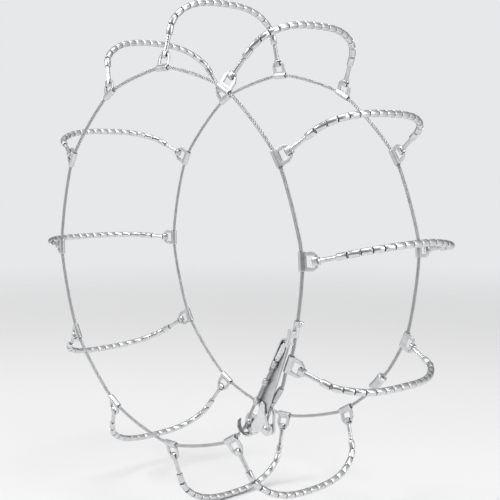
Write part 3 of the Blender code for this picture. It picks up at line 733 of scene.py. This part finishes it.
def clip_mesh():
    """In the clip's own axes: x out along the plate, y along the cable, z out of the plate (mm)."""
    rm, nz = 3.55, 0.80
    far, win0, win1 = CLIP_BAR_AT + 1.5, 6.2, CLIP_BAR_AT - 1.5
    path = []
    for x in (far, far - 1.0, win1 + 0.4, win1, 15.4, 11.0, win0, 5.4):
        path.append((x, nz))
    a0 = 50.0
    e = (rm * math.cos(math.radians(a0)), rm * math.sin(math.radians(a0)))
    path += [(4.75, nz + 0.06), (4.2, nz + 0.34), (0.5 * (4.2 + e[0]) + 0.05, 0.5 * (nz + 0.34 + e[1]))]
    arcs = [(rm * math.cos(math.radians(q)), rm * math.sin(math.radians(q))) for q in np.linspace(a0, 360 - a0, 17)]
    path = path + arcs + [(x, -y) for x, y in reversed(path)]
    h = CLIP_LEN / 2 - 0.2
    bm = bmesh.new()
    rows = []
    for x, z in path:
        w = h if x <= 15.4 else h + (8.0 - h) * (x - 15.4) / (far - 15.4)
        if abs(x - far) < 1e-6:
            w = 7.6
        ys = [-w, -w + (w - 7.2) * 0.5, -7.2, -3.6, 0.0, 3.6, 7.2, w - (w - 7.2) * 0.5, w]
        rows.append([bm.verts.new((x * MM, y * MM, z * MM)) for y in ys])
    for i in range(len(rows) - 1):
        xa, xb = path[i][0], path[i + 1][0]
        for j in range(8):
            in_win = 2 <= j <= 5 and min(xa, xb) >= win0 - 1e-6 and max(xa, xb) <= win1 + 1e-6
            if not in_win:
                bm.faces.new((rows[i][j], rows[i][j + 1], rows[i + 1][j + 1], rows[i + 1][j]))
    bmesh.ops.delete(bm, geom=[v for v in bm.verts if not v.link_faces], context='VERTS')
    bmesh.ops.recalc_face_normals(bm, faces=bm.faces)
    me = bpy.data.meshes.new('clip')
    bm.to_mesh(me)
    bm.free()
    me = with_modifiers(me, [('SOLIDIFY', {'thickness': 1.36 * MM, 'offset': 0.0, 'use_even_offset': True}), bevel(0.32, 3, 55)])
    return fix_normals(me)


CLIP_MESH = clip_mesh()


def clip_matrix(angle, side):
    rad, ax, tan = wheel_frame(angle)
    o = (rad * ring_radius(angle) + ax * SIDE_Y * side) * MM
    a = rad * LEAN_C - ax * LEAN_S * side
    n = np.cross(a, tan)
    m = Matrix((Vector(a), Vector(tan), Vector(n))).transposed().to_4x4()
    m.translation = Vector(o)
    return m


inner_set = []
for k in range(MEMBERS):
    tag = '%02d' % (k + 1)
    me = CLIP_MESH.copy()
    me.transform(clip_matrix(ANGLES[k], -1))
    ob = add('clip_' + tag, me, M_CLIP, 'chain_frame', 35)
    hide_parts('cable_clip_' + tag)
    me = CLIP_MESH.copy()
    me.transform(clip_matrix(ANGLES[k], 1))
    inner_set.append(me)
add('inner_clips', joined(inner_set, 'inner_clips'), M_CLIP, 'chain_frame', 35)

# ------------------------------------------------------------------------------------
# Closing lever and what it works on
# ------------------------------------------------------------------------------------
U3 = unit((LEVER_DIR[0], 0, LEVER_DIR[1]))
V3 = np.array((U3[2], 0, -U3[0]))
F3 = np.array((0, -1.0, 0))
LM = np.array((LEVER_MID[0], 0, LEVER_MID[1]))


def lever_mesh():
    """A pressed channel: two flanges, a closed round tip, and an open foot whose left flange is cut away."""
    t, tip_u, tip_r, full = 1.5, 52.0, 7.0, 5.8

    def width(u, right):
        pts = [(-52.0, 7.4), (-48.0, 10.0), (-43.0, 11.0), (0.0, 9.8), (52.0, 7.0)] if right else [(-52.0, 5.6), (-48.0, 7.8), (-42.0, 9.6), (-34.0, 10.4), (0.0, 9.5), (52.0, 7.0)]
        return float(np.interp(u, [p[0] for p in pts], [p[1] for p in pts]))

    def height(u, right):
        lo, hi = (-50.0, -36.0) if right else (0.5, 9.0)
        f = min(1.0, max(0.0, (u - lo) / (hi - lo)))
        return t + 0.02 + (full - t - 0.02) * f * f * (3 - 2 * f)

    def half(wid, hgt):
        lift = hgt - t
        ri = min(1.5, lift * 0.7)
        ro = min(ri + t, 2.6) if lift > 0.3 else 0.35 + lift
        e = 0.45
        pts = [(f * (wid - t - ri), t) for f in (0.0, 0.33, 0.66, 1.0)]
        pts += [(wid - t - ri + ri * math.sin(q), t + ri - ri * math.cos(q)) for q in np.radians((30, 60, 90))]
        top = max(hgt - e, t + ri)
        pts += [(wid - t, top), (wid - t + 0.14, hgt - 0.14 * min(1, lift / e)), (wid - t + e, hgt), (wid - e, hgt), (wid - 0.13, hgt - 0.13)]
        pts += [(wid, max(hgt - e, ro))]
        pts += [(wid - ro + ro * math.cos(q), ro - ro * math.sin(q)) for q in np.radians((0, 22, 45, 68, 90))]
        pts += [(f * (wid - ro), 0.0) for f in (0.66, 0.33, 0.0)]
        return pts
    B = Builder()
    us = np.concatenate([np.linspace(-52, -36, 9), np.linspace(-33, -2, 10), np.linspace(0.5, 9.5, 8), np.linspace(13, 52, 12)])
    for right in (False, True):
        rows = []
        for u in us:
            rows.append([LM + V3 * (x if right else -x) + U3 * u + F3 * (120.2 + w) for x, w in half(width(u, right), height(u, right))])
        B.grid(np.array(rows) * MM, closed=False)
    rows = []
    for q in np.linspace(180, 0, 19):
        c_, s_ = math.cos(math.radians(q)), math.sin(math.radians(q))
        rows.append([LM + V3 * x * c_ + U3 * (tip_u + x * s_) + F3 * (120.2 + w) for x, w in half(tip_r, full)])
    B.grid(np.array(rows) * MM, closed=False)
    me = B.mesh('lever')
    bm = bmesh.new()
    bm.from_mesh(me)
    bmesh.ops.remove_doubles(bm, verts=bm.verts, dist=2e-6)
    bmesh.ops.holes_fill(bm, edges=[e for e in bm.edges if len(e.link_faces) == 1], sides=0)
    bmesh.ops.recalc_face_normals(bm, faces=bm.faces)
    bm.to_mesh(me)
    bm.free()
    return me


lv = add('lever_channel', lever_mesh(), M_LEVER, 'lever', 35)
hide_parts('tension_lever')

X3, Z3 = np.array((1.0, 0, 0)), np.array((0, 0, 1.0))
crank = [(203.0, -171.5), (203.8, -167.0), (207.6, -165.0), (211.3, -167.0), (212.2, -171.5), (212.8, -179.0), (215.2, -187.0), (219.6, -192.2)]
crank += arc(PIVOT[0], PIVOT[1], 8.7, 40, -122, 7)
crank += [(206.6, -205.4), (201.5, -205.8), (195.0, -207.6), (189.0, -205.0), (187.6, -199.6), (191.0, -193.6), (196.4, -187.0), (200.2, -179.5)]
face = with_modifiers(slab_mesh(round_line(crank, 5), (0, 0, 0), X3, Z3, F3, 122.05, 124.5), [bevel(0.7, 3, 40)])
boss = [with_modifiers(slab_mesh(arc(cx, cz, r, 0, 345, 23), (0, 0, 0), X3, Z3, F3, 120.1, 122.3), [bevel(0.3, 2, 40)])
        for cx, cz, r in ((PIVOT[0], PIVOT[1], 7.8), (194.0, -200.5, 6.2))]
cp = add('crank', joined([face] + boss, 'crank'), M_PLATE, 'lever', 35)
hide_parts('crank_plate')


def turned(name, prof, o, axis, up, mat, body, n=40, sharp=35, flat=0.0, flats=8):
    """A turned piece; prof is (along, radius) in mm from o along the axis."""
    B = Builder()
    d = unit(axis)
    a = unit(np.asarray(up) - d * np.dot(up, d))
    c = np.cross(d, a)
    P = np.zeros((len(prof), n, 3))
    for i, (x, r) in enumerate(prof):
        for j in range(n):
            w = 2 * math.pi * j / n
            P[i, j] = np.asarray(o) + (d * x + (a * math.cos(w) + c * math.sin(w)) * r * (1 + flat * math.cos(flats * w))) * MM
    B.grid(P, True, (True, True))
    me = fix_normals(B.mesh(name))
    return add(name, me, mat, body, sharp)


# rivet: domed head with a formed ring, shank, upset tail
dome = [(0.0, 0.3)] + [(3.1 * (1 - math.cos(q)), 0.3 + 5.2 * math.sin(q)) for q in np.linspace(0.15, math.pi / 2, 9)]
prof = [(x, r) for x, r in dome] + [(3.25, 5.55), (3.3, 6.7), (3.7, 6.9), (3.95, 6.7), (4.0, 3.2), (15.6, 3.2), (15.7, 4.9), (16.4, 5.0), (17.3, 4.2), (17.6, 0.4)]
rv = turned('rivet', prof, xz(PIVOT, -128.5), (0, 1, 0), (1, 0, 0), M_PLATE, 'lever', 44)
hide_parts('pivot_rivet')


def cup_mesh():
    """A pressed dish with a deep lip below, carried round over the cable on the left; open on top, where the ball swings clear."""
    def at(q, r, y):
        return np.array((CUP_C[0] + r * math.cos(math.radians(q)), -y, CUP_C[1] + r * math.sin(math.radians(q)))) * MM

    # the dish, turned
    prof = [(0.02, 111.28), (6.0, 111.28), (10.6, 111.42)]
    prof += [(11.9 + 1.75 * math.sin(math.radians(w)), 112.0 - 0.5 * math.cos(math.radians(w))) for w in (15, 40, 65, 88)]
    prof += [(13.95, 112.12), (14.35, 112.18), (14.75, 112.12), (15.02, 111.85)]
    prof += [(13.3 + 1.72 * math.cos(math.radians(w)), 111.75 - 1.7 * math.sin(math.radians(w))) for w in (10, 30, 50, 70, 90)]
    prof += [(6.0, 110.05), (0.02, 110.05)]
    n = 144
    P = np.zeros((len(prof), n, 3))
    for a_, (r, y) in enumerate(prof):
        for b_ in range(n):
            P[a_, b_] = at(360.0 * b_ / n, r, y)
    B = Builder()
    B.grid(P, True, (True, True))
    dish = fix_normals(B.mesh('dish'))

    # the lip: one closed section carried round, low on the right, high below and on the left
    def ease(x):
        x = max(0.0, min(1.0, x))
        return x * x * (3 - 2 * x)

    def low(q):
        return 119.35 - 8.0 * ease((q - 236.5) / 9.0)

    def high(q):
        return 127.2 - 7.5 * ease((q - 314.0) / 12.0) - 7.4 * ease((q - 384.0) / 8.0)
    q0, q1 = 153.0, 392.0
    qs = [q0 + 12.0 * (1 - math.cos(w)) for w in np.linspace(0.06, math.pi / 2, 14)]
    qs += list(np.linspace(q0 + 13.0, q1, 200))
    rows = []
    for q in qs:
        f = min(1.0, (q - q0) / 12.0)
        end = math.sqrt(max(0.0, 1 - (1 - f) ** 2))
        lo, hi = low(q), high(q)
        mid_, half = (lo + hi) / 2, (hi - lo) / 2 * end
        lo, hi = mid_ - half, mid_ + half
        rid = ease((q - 246.0) / 10.0) * ease((320.0 - q) / 10.0)
        ring = []
        nr = 12
        e = min(0.62, half * 0.45)
        ys = [lo + e] + [lo + e + (hi - lo - 2 * e) * k / nr for k in range(1, nr)] + [hi - e]

        def shift(y):
            up = max(0.0, min(1.0, (y - 116.0) / 11.0))
            return (0.55 * math.sin(math.pi * min(1.0, up)) * 0.6 - 0.75 * up ** 3
                    + 0.17 * rid * ease((y - 119.0) / 4.0) * math.cos(math.radians(30 * q)))
        for y in ys:
            ring.append((15.05 + shift(y), y))
        for w in (25, 60, 90, 120, 155):
            ring.append((14.35 + shift(hi - e) + 0.7 * math.cos(math.radians(w)), hi - e + e * math.sin(math.radians(w))))
        for y in reversed(ys):
            ring.append((13.65 + shift(y), y))
        for w in (205, 240, 270, 300, 335):
            ring.append((14.35 + shift(lo + e) + 0.7 * math.cos(math.radians(w)), lo + e + e * math.sin(math.radians(w))))
        rows.append([at(q, r, y) for r, y in ring])
    B = Builder()
    B.grid(np.array(rows), True, (True, True))
    lip = fix_normals(B.mesh('lip'))
    return joined([dish, lip], 'cup')


cu = add('cup', cup_mesh(), M_PLATE, 'lever', 40)
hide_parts('catch_cup')

# tail rope and its bead ferrules, laid in the channel
TAIL = [((180.8, -192.6), -122.6), ((184.6, -187.0), -123.5), ((190.2, -178.6), -124.8), ((198.3, -166.6), -125.9),
        ((208.6, -149.6), -126.2), ((219.0, -132.4), -126.0), ((228.8, -116.2), -125.3), ((234.1, -106.6), -124.3), ((235.9, -103.4), -123.4)]
tail_pts = [xz(p, y) for p, y in TAIL]
tl, ts = smooth_curve(tail_pts, 0.0008)
B = Builder()
rope_grid(B, tl, ts, 2.05 * MM, 26 * MM, (0, 1, 0), 6)
tr = add('tail_rope', B.mesh('tail_rope'), M_ROPE, 'lever', 60)
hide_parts('adjuster_tail')
T, A_, C_ = frames_along(tl, (0, 1, 0))
beads = []
for b, br in ((0.0322, 3.7), (0.0652, 3.6), (0.0935, 3.5)):
    i = int(np.searchsorted(ts, b))
    h = 4.6
    prof = [(-h - 0.4, 2.1)] + [(-h + 1.3 * (1 - math.cos(q)), 2.1 + (br - 2.1) * math.sin(q)) for q in np.linspace(0.1, math.pi / 2, 6)]
    prof += [(-0.9, br), (-0.55, br - 0.28), (0.0, br - 0.36), (0.55, br - 0.28), (0.9, br)]
    prof += [(-x, r) for x, r in reversed(prof[:7])]
    Bb = Builder()
    m = 32
    P = np.zeros((len(prof), m, 3))
    for a_, (x, r) in enumerate(prof):
        for j in range(m):
            w = 2 * math.pi * j / m
            P[a_, j] = tl[i] + (T[i] * x + (A_[i] * math.cos(w) + C_[i] * math.sin(w)) * (r * (1 + 0.02 * math.cos(6 * w)))) * MM
    Bb.grid(P, True, (True, True))
    beads.append(fix_normals(Bb.mesh('bead')))
add('tail_beads', joined(beads, 'tail_beads'), M_FERR, 'lever', 40)

end_sleeve = [(-6.5, 27.0), (-5.4, 24.6), (-1.2, 24.6), (0.4, 27.0), (4.1, 45.0), (3.4, 50.0), (0.9, 52.6), (-1.7, 52.6), (-4.2, 50.0), (-4.7, 45.0)]
tail_end = with_modifiers(slab_mesh(cut_corners(end_sleeve, 1.6, 4), LM, V3, U3, F3, 122.0, 125.5), [bevel(1.15, 4, 30)])
dents = [with_modifiers(slab_mesh(cut_corners([(d - 2.9, u - 1.0), (d + 2.9, u - 1.0), (d + 2.9, u + 1.0), (d - 2.9, u + 1.0)], 0.8, 4), LM, V3, U3, F3, 125.2, 126.0), [bevel(0.35, 2, 30)]) for u, d in ((31.5, -2.5), (36.5, -1.8), (41.5, -1.1), (46.5, -0.5))]
add('tail_end_sleeve', joined([tail_end] + dents, 'tail_end_sleeve'), M_PLATE, 'lever', 40)

# ball swaged on the cable's end, with a short neck
prev = outer_pts[1]
bd = unit(ball - prev)
prof = [(-9.5, 2.5), (-9.2, 2.8), (-6.2, 2.9), (-4.6, 2.6), (-3.8, 2.8)]
prof += [(4.0 * math.cos(q), 4.05 * math.sin(q)) for q in np.linspace(math.radians(136), math.radians(4), 14)]
turned('cable_ball', prof, ball, bd, (0, 1, 0), M_FERR, 'chain_frame', 36, 40)

# hatched ferrule on the other end
B = Builder()
n, m = 62, 60
Lf = np.linalg.norm(fb - fa) / MM
a = unit(np.array((0, 1.0, 0)))
c = np.cross(fdir, a)
P = np.zeros((n + 4, m, 3))
for i in range(n + 4):
    f = (i - 2) / (n - 1)
    x = Lf * min(max(f, 0.0), 1.0)
    for j in range(m):
        w = 2 * math.pi * j / m
        if i in (0, n + 3):
            r = 2.5
        elif i in (1, n + 2):
            r = 3.3
        else:
            e = min(x, Lf - x)
            plain = min(1.0, max(0.0, (e - 1.6) / 0.8))
            ridge = abs(math.sin(5 * w + x * 1.35)) * abs(math.sin(5 * w - x * 1.35))
            r = 3.72 + 0.38 * plain * (1 - ridge) ** 1.5 - (0.25 * (1 - min(1, e / 0.6)))
        P[i, j] = fa + (fdir * (x if 1 < i < n + 2 else (0.05 if i <= 1 else Lf - 0.05)) + (a * math.cos(w) + c * math.sin(w)) * r) * MM
B.grid(P, True, (True, True))
fe = add('end_ferrule', fix_normals(B.mesh('end_ferrule')), M_FERR, 'chain_frame', 50)
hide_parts('cable_end_ferrule')

# yoke: one wire bent round the rivet, both legs swaged into a collar at the ferrule
WR = 2.05
fb2 = np.array((FERRULE_B[0], 0, FERRULE_B[1]))
nrm = np.array((fdir[2], 0, -fdir[0]))
e0 = fb2 + fdir * 0.6
loop = [e0 + nrm * 2.15, e0 + fdir * 6 + nrm * 2.5]
loop += [np.array((213.4, 0, -179.0)), np.array((209.4, 0, -190.0))]
loop += [np.array((x, 0, z)) for x, z in arc(PIVOT[0], PIVOT[1], 6.3, 170, 370, 9)]
loop += [np.array((221.4, 0, -190.0)), np.array((220.9, 0, -179.0))]
loop += [e0 + fdir * 6 - nrm * 2.5, e0 - nrm * 2.15]
if np.dot(loop[0] - loop[-1], X3) > 0:
    loop[0], loop[-1] = loop[-1], loop[0]
    loop[1], loop[-2] = loop[-2], loop[1]
lp = [(q + np.array((0, -116.2, 0))) * MM for q in loop]
ll, ls = smooth_curve(lp, 0.0009)
T, A_, C_ = frames_along(ll, (0, 1, 0))
m = 20
P = np.zeros((len(ll), m, 3))
for j in range(m):
    w = 2 * math.pi * j / m
    P[:, j] = ll + (A_ * math.cos(w) + C_ * math.sin(w)) * WR * MM
B = Builder()
B.grid(P, True, (True, True))
wire = fix_normals(B.mesh('yoke_wire'))
yk = add('yoke_wire', wire, M_HOOK, 'chain_frame', 60)
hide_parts('yoke_link')
prof = [(0.3, 2.2), (0.35, 4.0), (0.9, 4.45), (5.6, 4.45), (6.3, 4.1), (6.5, 2.4)]
turned('yoke_collar', prof, fb + np.array((0, -0.0006, 0)), fdir, (0, 1, 0), M_FERR, 'chain_frame', 32, 35, 0.02, 6)

# ------------------------------------------------------------------------------------
# Keeper on the side cable, over the lever's tip
# ------------------------------------------------------------------------------------
joint = next(j for j in frame['joints'] if j['name'] == 'keeper_turn')
kc = np.array(joint['pos_m']) / MM
kd = unit(joint['axis'])
kl = np.array((-kd[2], 0, kd[0]))          # left, across the lever
ko = np.array((0, -1.0, 0))                # out from the wheel


def kslab(outline, low, high, bev=0.35):
    return with_modifiers(slab_mesh(outline, kc, kl, kd, ko, low, high), [bevel(bev, 2, 40)])


parts = []
# sleeve rolled round the cable, its lips meeting on the outside
B = Builder()
ang = np.radians(np.concatenate([[68, 72, 80], np.linspace(95, 395, 22), [408, 416, 420]]))
prof = [(-10.4, 3.1), (-10.5, 3.4), (-10.5, 3.9), (-10.2, 4.25), (10.2, 4.25), (10.5, 3.9), (10.5, 3.4), (10.4, 3.1)]
P = np.zeros((len(ang), len(prof), 3))
for i, w in enumerate(ang):
    for j, (x, r) in enumerate(prof):
        P[i, j] = (kc + kd * x + (kl * math.cos(w) + ko * math.sin(w)) * r) * MM
B.grid(P, True, (True, True))
parts.append(fix_normals(B.mesh('sleeve')))
# two cheeks stand out from the sleeve and carry the cross-shaped strap in front of the lever's tip
parts.append(kslab(cut_corners([(-3.6, -10.3), (-2.1, -10.3), (-2.1, -1.0), (-3.6, -1.0)], 0.3, 2), 2.6, 12.6, 0.25))
parts.append(kslab(cut_corners([(-0.1, -10.3), (1.4, -10.3), (1.4, -1.0), (-0.1, -1.0)], 0.3, 2), 3.2, 12.6, 0.25))
strap = [(-4.8, 1.6), (-4.6, -12.2), (-9.0, -13.6), (-8.7, -17.6), (-3.4, -17.2), (-1.6, -22.8), (5.0, -21.6), (3.0, -13.8), (1.2, -1.0), (1.0, 1.9)]
parts.append(kslab(cut_corners(strap, 1.6, 5), 12.0, 13.6, 0.45))
# a raised bead down the middle of the strap stiffens it
rib = [(-3.0, 0.4), (-2.9, -11.6), (-1.7, -15.6), (0.3, -20.9), (2.9, -20.4), (1.0, -13.4), (-0.5, -1.2), (-0.8, 0.6)]
parts.append(kslab(cut_corners(rib, 1.4, 4), 13.2, 14.3, 0.5))
parts.append(kslab(cut_corners([(-8.6, -14.2), (-8.3, -17.0), (-6.9, -17.0), (-7.1, -14.0)], 0.4, 3), 10.2, 13.4, 0.3))
# bright tab to the left, folded from the cheek
parts.append(kslab(cut_corners([(0.4, -8.4), (6.9, -7.6), (6.9, -1.2), (0.4, -1.6)], 1.0, 4), 7.0, 8.6, 0.4))
parts.append(kslab(cut_corners([(5.4, -7.4), (6.9, -7.4), (6.9, -1.4), (5.4, -1.4)], 0.4, 3), 5.6, 8.2, 0.3))
# lobed ear at the upper right, with a formed button
ear = [(-2.6, 9.3), (-2.6, 3.0), (-6.4, 4.4), (-10.8, 7.6), (-11.4, 10.6), (-9.0, 13.0), (-5.8, 12.6)]
parts.append(kslab(cut_corners(ear, 2.0, 5), -0.4, 2.8, 0.5))
kp = add('keeper', joined(parts, 'keeper'), M_CLIP, 'keeper', 35)
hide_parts('tip_keeper')
ec = (kc + kl * -8.3 + kd * 9.9 + ko * 2.6) * MM
turned('keeper_button', [(-0.4, 0.3), (-0.3, 2.6), (0.5, 2.6), (1.1, 2.2), (1.6, 1.4), (1.8, 0.3)], ec, ko, kl, M_PLATE, 'keeper', 28, 40)

# ------------------------------------------------------------------------------------
# Coupler of the inner cable
# ------------------------------------------------------------------------------------
for n_, mat in (('inner_coupler', M_CLIP), ('inner_stop_sleeve', M_FERR)):
    pass
me = bpy.data.meshes.new('coupler')
outer_p = [(-14.0, 3.1), (-14.0, 5.6), (-13.5, 6.6), (-12.4, 7.1), (-8.0, 7.1), (-7.6, 6.8), (7.6, 6.8), (8.0, 7.1), (12.4, 7.1), (13.5, 6.6), (14.0, 5.6), (14.0, 3.1),
           (10.1, 3.1), (10.0, 5.2), (-10.0, 5.2), (-10.1, 3.1)]
B = Builder()
a = np.array((0, 1.0, 0))
c = np.cross(cdir, a)
ang = np.radians(np.concatenate([[27, 30, 36], np.linspace(44, 316, 30), [324, 330, 333]]))
P = np.zeros((len(ang), len(outer_p), 3))
for i, w in enumerate(ang):
    for j, (x, r) in enumerate(outer_p):
        P[i, j] = mid + (cdir * x + (a * math.cos(w) + c * math.sin(w)) * r) * MM
B.grid(P, True, (True, True))
co = add('coupler', fix_normals(B.mesh('coupler')), M_CLIP, 'chain_frame', 30)
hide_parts('inner_coupler')
prof = [(-9.4, 2.6), (-9.3, 3.4), (-8.4, 4.4), (-7.4, 4.6), (-3.2, 4.6), (-2.3, 4.4), (-1.4, 3.4), (-1.3, 2.6)]
sp = turned('stop_sleeve', prof, mid, cdir, (0, 1, 0), M_FERR, 'chain_frame', 32, 35)
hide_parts('inner_stop_sleeve')

# ------------------------------------------------------------------------------------
# Floor, light and camera
# ------------------------------------------------------------------------------------
floor_z = min(CAD_BOX[0][2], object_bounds()[0][2]) - 0.0005
me = bpy.data.meshes.new('floor')
s = 6.0
me.from_pydata([(-s, -s, floor_z), (s, -s, floor_z), (s, s, floor_z), (-s, s, floor_z)], [], [(0, 1, 2, 3)])
floor = bpy.data.objects.new('floor', me)
bpy.context.scene.collection.objects.link(floor)
fm = bpy.data.materials.new('floor')
fm.use_nodes = True
ft = fm.node_tree
fp = ft.nodes['Principled BSDF']
fp.inputs['Base Color'].default_value = (0.88, 0.88, 0.885, 1)
fp.inputs['Roughness'].default_value = 0.9
fp.inputs['Specular IOR Level'].default_value = 0.1
fc = ft.nodes.new('ShaderNodeTexCoord')
fl = ft.nodes.new('ShaderNodeVectorMath')
fl.operation = 'LENGTH'
fr = ft.nodes.new('ShaderNodeMapRange')
fr.interpolation_type = 'SMOOTHSTEP'
fr.inputs['From Min'].default_value = 0.9
fr.inputs['From Max'].default_value = 3.2
fx = ft.nodes.new('ShaderNodeMixShader')
fz = ft.nodes.new('ShaderNodeBsdfTransparent')
ft.links.new(fc.outputs['Object'], fl.inputs[0])
ft.links.new(fl.outputs['Value'], fr.inputs['Value'])
ft.links.new(fr.outputs['Result'], fx.inputs[0])
ft.links.new(fp.outputs[0], fx.inputs[1])
ft.links.new(fz.outputs[0], fx.inputs[2])
ft.links.new(fx.outputs[0], ft.nodes['Material Output'].inputs['Surface'])
me.materials.append(fm)

# a pale backdrop, with a studio of soft lights and dark walls for the metal to mirror
world = bpy.data.worlds.new('studio')
bpy.context.scene.world = world
world.use_nodes = True
wt = world.node_tree
bg = wt.nodes['Background']
tc = wt.nodes.new('ShaderNodeTexCoord')
sx = wt.nodes.new('ShaderNodeSeparateXYZ')
wt.links.new(tc.outputs['Generated'], sx.inputs[0])


def w_math(op, x, y=None, clamp=False):
    n_ = wt.nodes.new('ShaderNodeMath')
    n_.operation, n_.use_clamp = op, clamp
    for s_, v_ in ((n_.inputs[0], x), (n_.inputs[1], y)):
        if v_ is None:
            continue
        if isinstance(v_, (int, float)):
            s_.default_value = v_
        else:
            wt.links.new(v_, s_)
    return n_.outputs[0]


def w_ramp(src, stops):
    r_ = wt.nodes.new('ShaderNodeValToRGB')
    while len(r_.color_ramp.elements) < len(stops):
        r_.color_ramp.elements.new(0.5)
    for e_, (p_, c_) in zip(r_.color_ramp.elements, stops):
        e_.position, e_.color = p_, (c_, c_, c_, 1)
    wt.links.new(src, r_.inputs['Fac'])
    return r_.outputs['Color']


height = w_math('MULTIPLY', w_math('ADD', sx.outputs['Z'], 1.0), 0.5)
tall = w_ramp(height, [(0.0, 0.36), (0.46, 0.26), (0.52, 0.09), (0.60, 0.12), (0.70, 0.36), (0.85, 0.62), (1.0, 0.70)])
across = w_math('ABSOLUTE', w_math('ADD', w_math('MULTIPLY', sx.outputs['X'], 0.73), w_math('MULTIPLY', sx.outputs['Y'], 0.68)))
sides = w_ramp(across, [(0.0, 0.03), (0.58, 0.08), (0.80, 0.48), (1.0, 0.70)])
low = w_ramp(height, [(0.40, 0.5), (0.46, 1.0), (0.62, 1.0), (0.72, 0.0)])
walls = w_math('MULTIPLY', sides, low)
studio = w_math('ADD', w_math('MULTIPLY', tall, 0.9), w_math('MULTIPLY', walls, 0.9))
lp_ = wt.nodes.new('ShaderNodeLightPath')
mixw = wt.nodes.new('ShaderNodeMix')
mixw.data_type = 'RGBA'
wt.links.new(lp_.outputs['Is Camera Ray'], mixw.inputs[0])
wt.links.new(studio, mixw.inputs[6])
mixw.inputs[7].default_value = (0.80, 0.805, 0.815, 1)
wt.links.new(mixw.outputs[2], bg.inputs['Color'])
bg.inputs['Strength'].default_value = 1.0
bpy.context.scene.view_settings.view_transform = 'Standard'


def area(name, loc, target, size, power, colour=(1, 1, 1)):
    li = bpy.data.lights.new(name, 'AREA')
    li.shape = 'RECTANGLE'
    li.size, li.size_y = size
    li.energy = power
    li.color = colour
    o = bpy.data.objects.new(name, li)
    bpy.context.scene.collection.objects.link(o)
    o.location = loc
    d = Vector(target) - Vector(loc)
    o.rotation_euler = d.to_track_quat('-Z', 'Y').to_euler()
    return o


area('key', (-1.2, -1.9, 1.9), (0, 0, 0), (1.3, 0.9), 30)
area('top', (0.3, 0.1, 2.3), (0, 0, 0), (1.5, 1.5), 20)
area('right', (2.0, 0.6, 0.9), (0, 0, 0), (0.8, 1.4), 12)

cam = bpy.data.cameras.new('camera')
cam.sensor_width = 36.0
cam.lens = 994.37 / 500 * 36.0
co_ = bpy.data.objects.new('camera', cam)
bpy.context.scene.collection.objects.link(co_)
right, up, back = Vector((0.68119, 0.73210, 0.00019)), Vector((-0.07661, 0.07102, 0.99453)), Vector((0.72808, -0.67748, 0.10446))
m4 = Matrix((right, up, back)).transposed().to_4x4()
m4.translation = Vector((1.10430, -0.97955, 0.15924))
co_.matrix_world = m4
bpy.context.scene.camera = co_
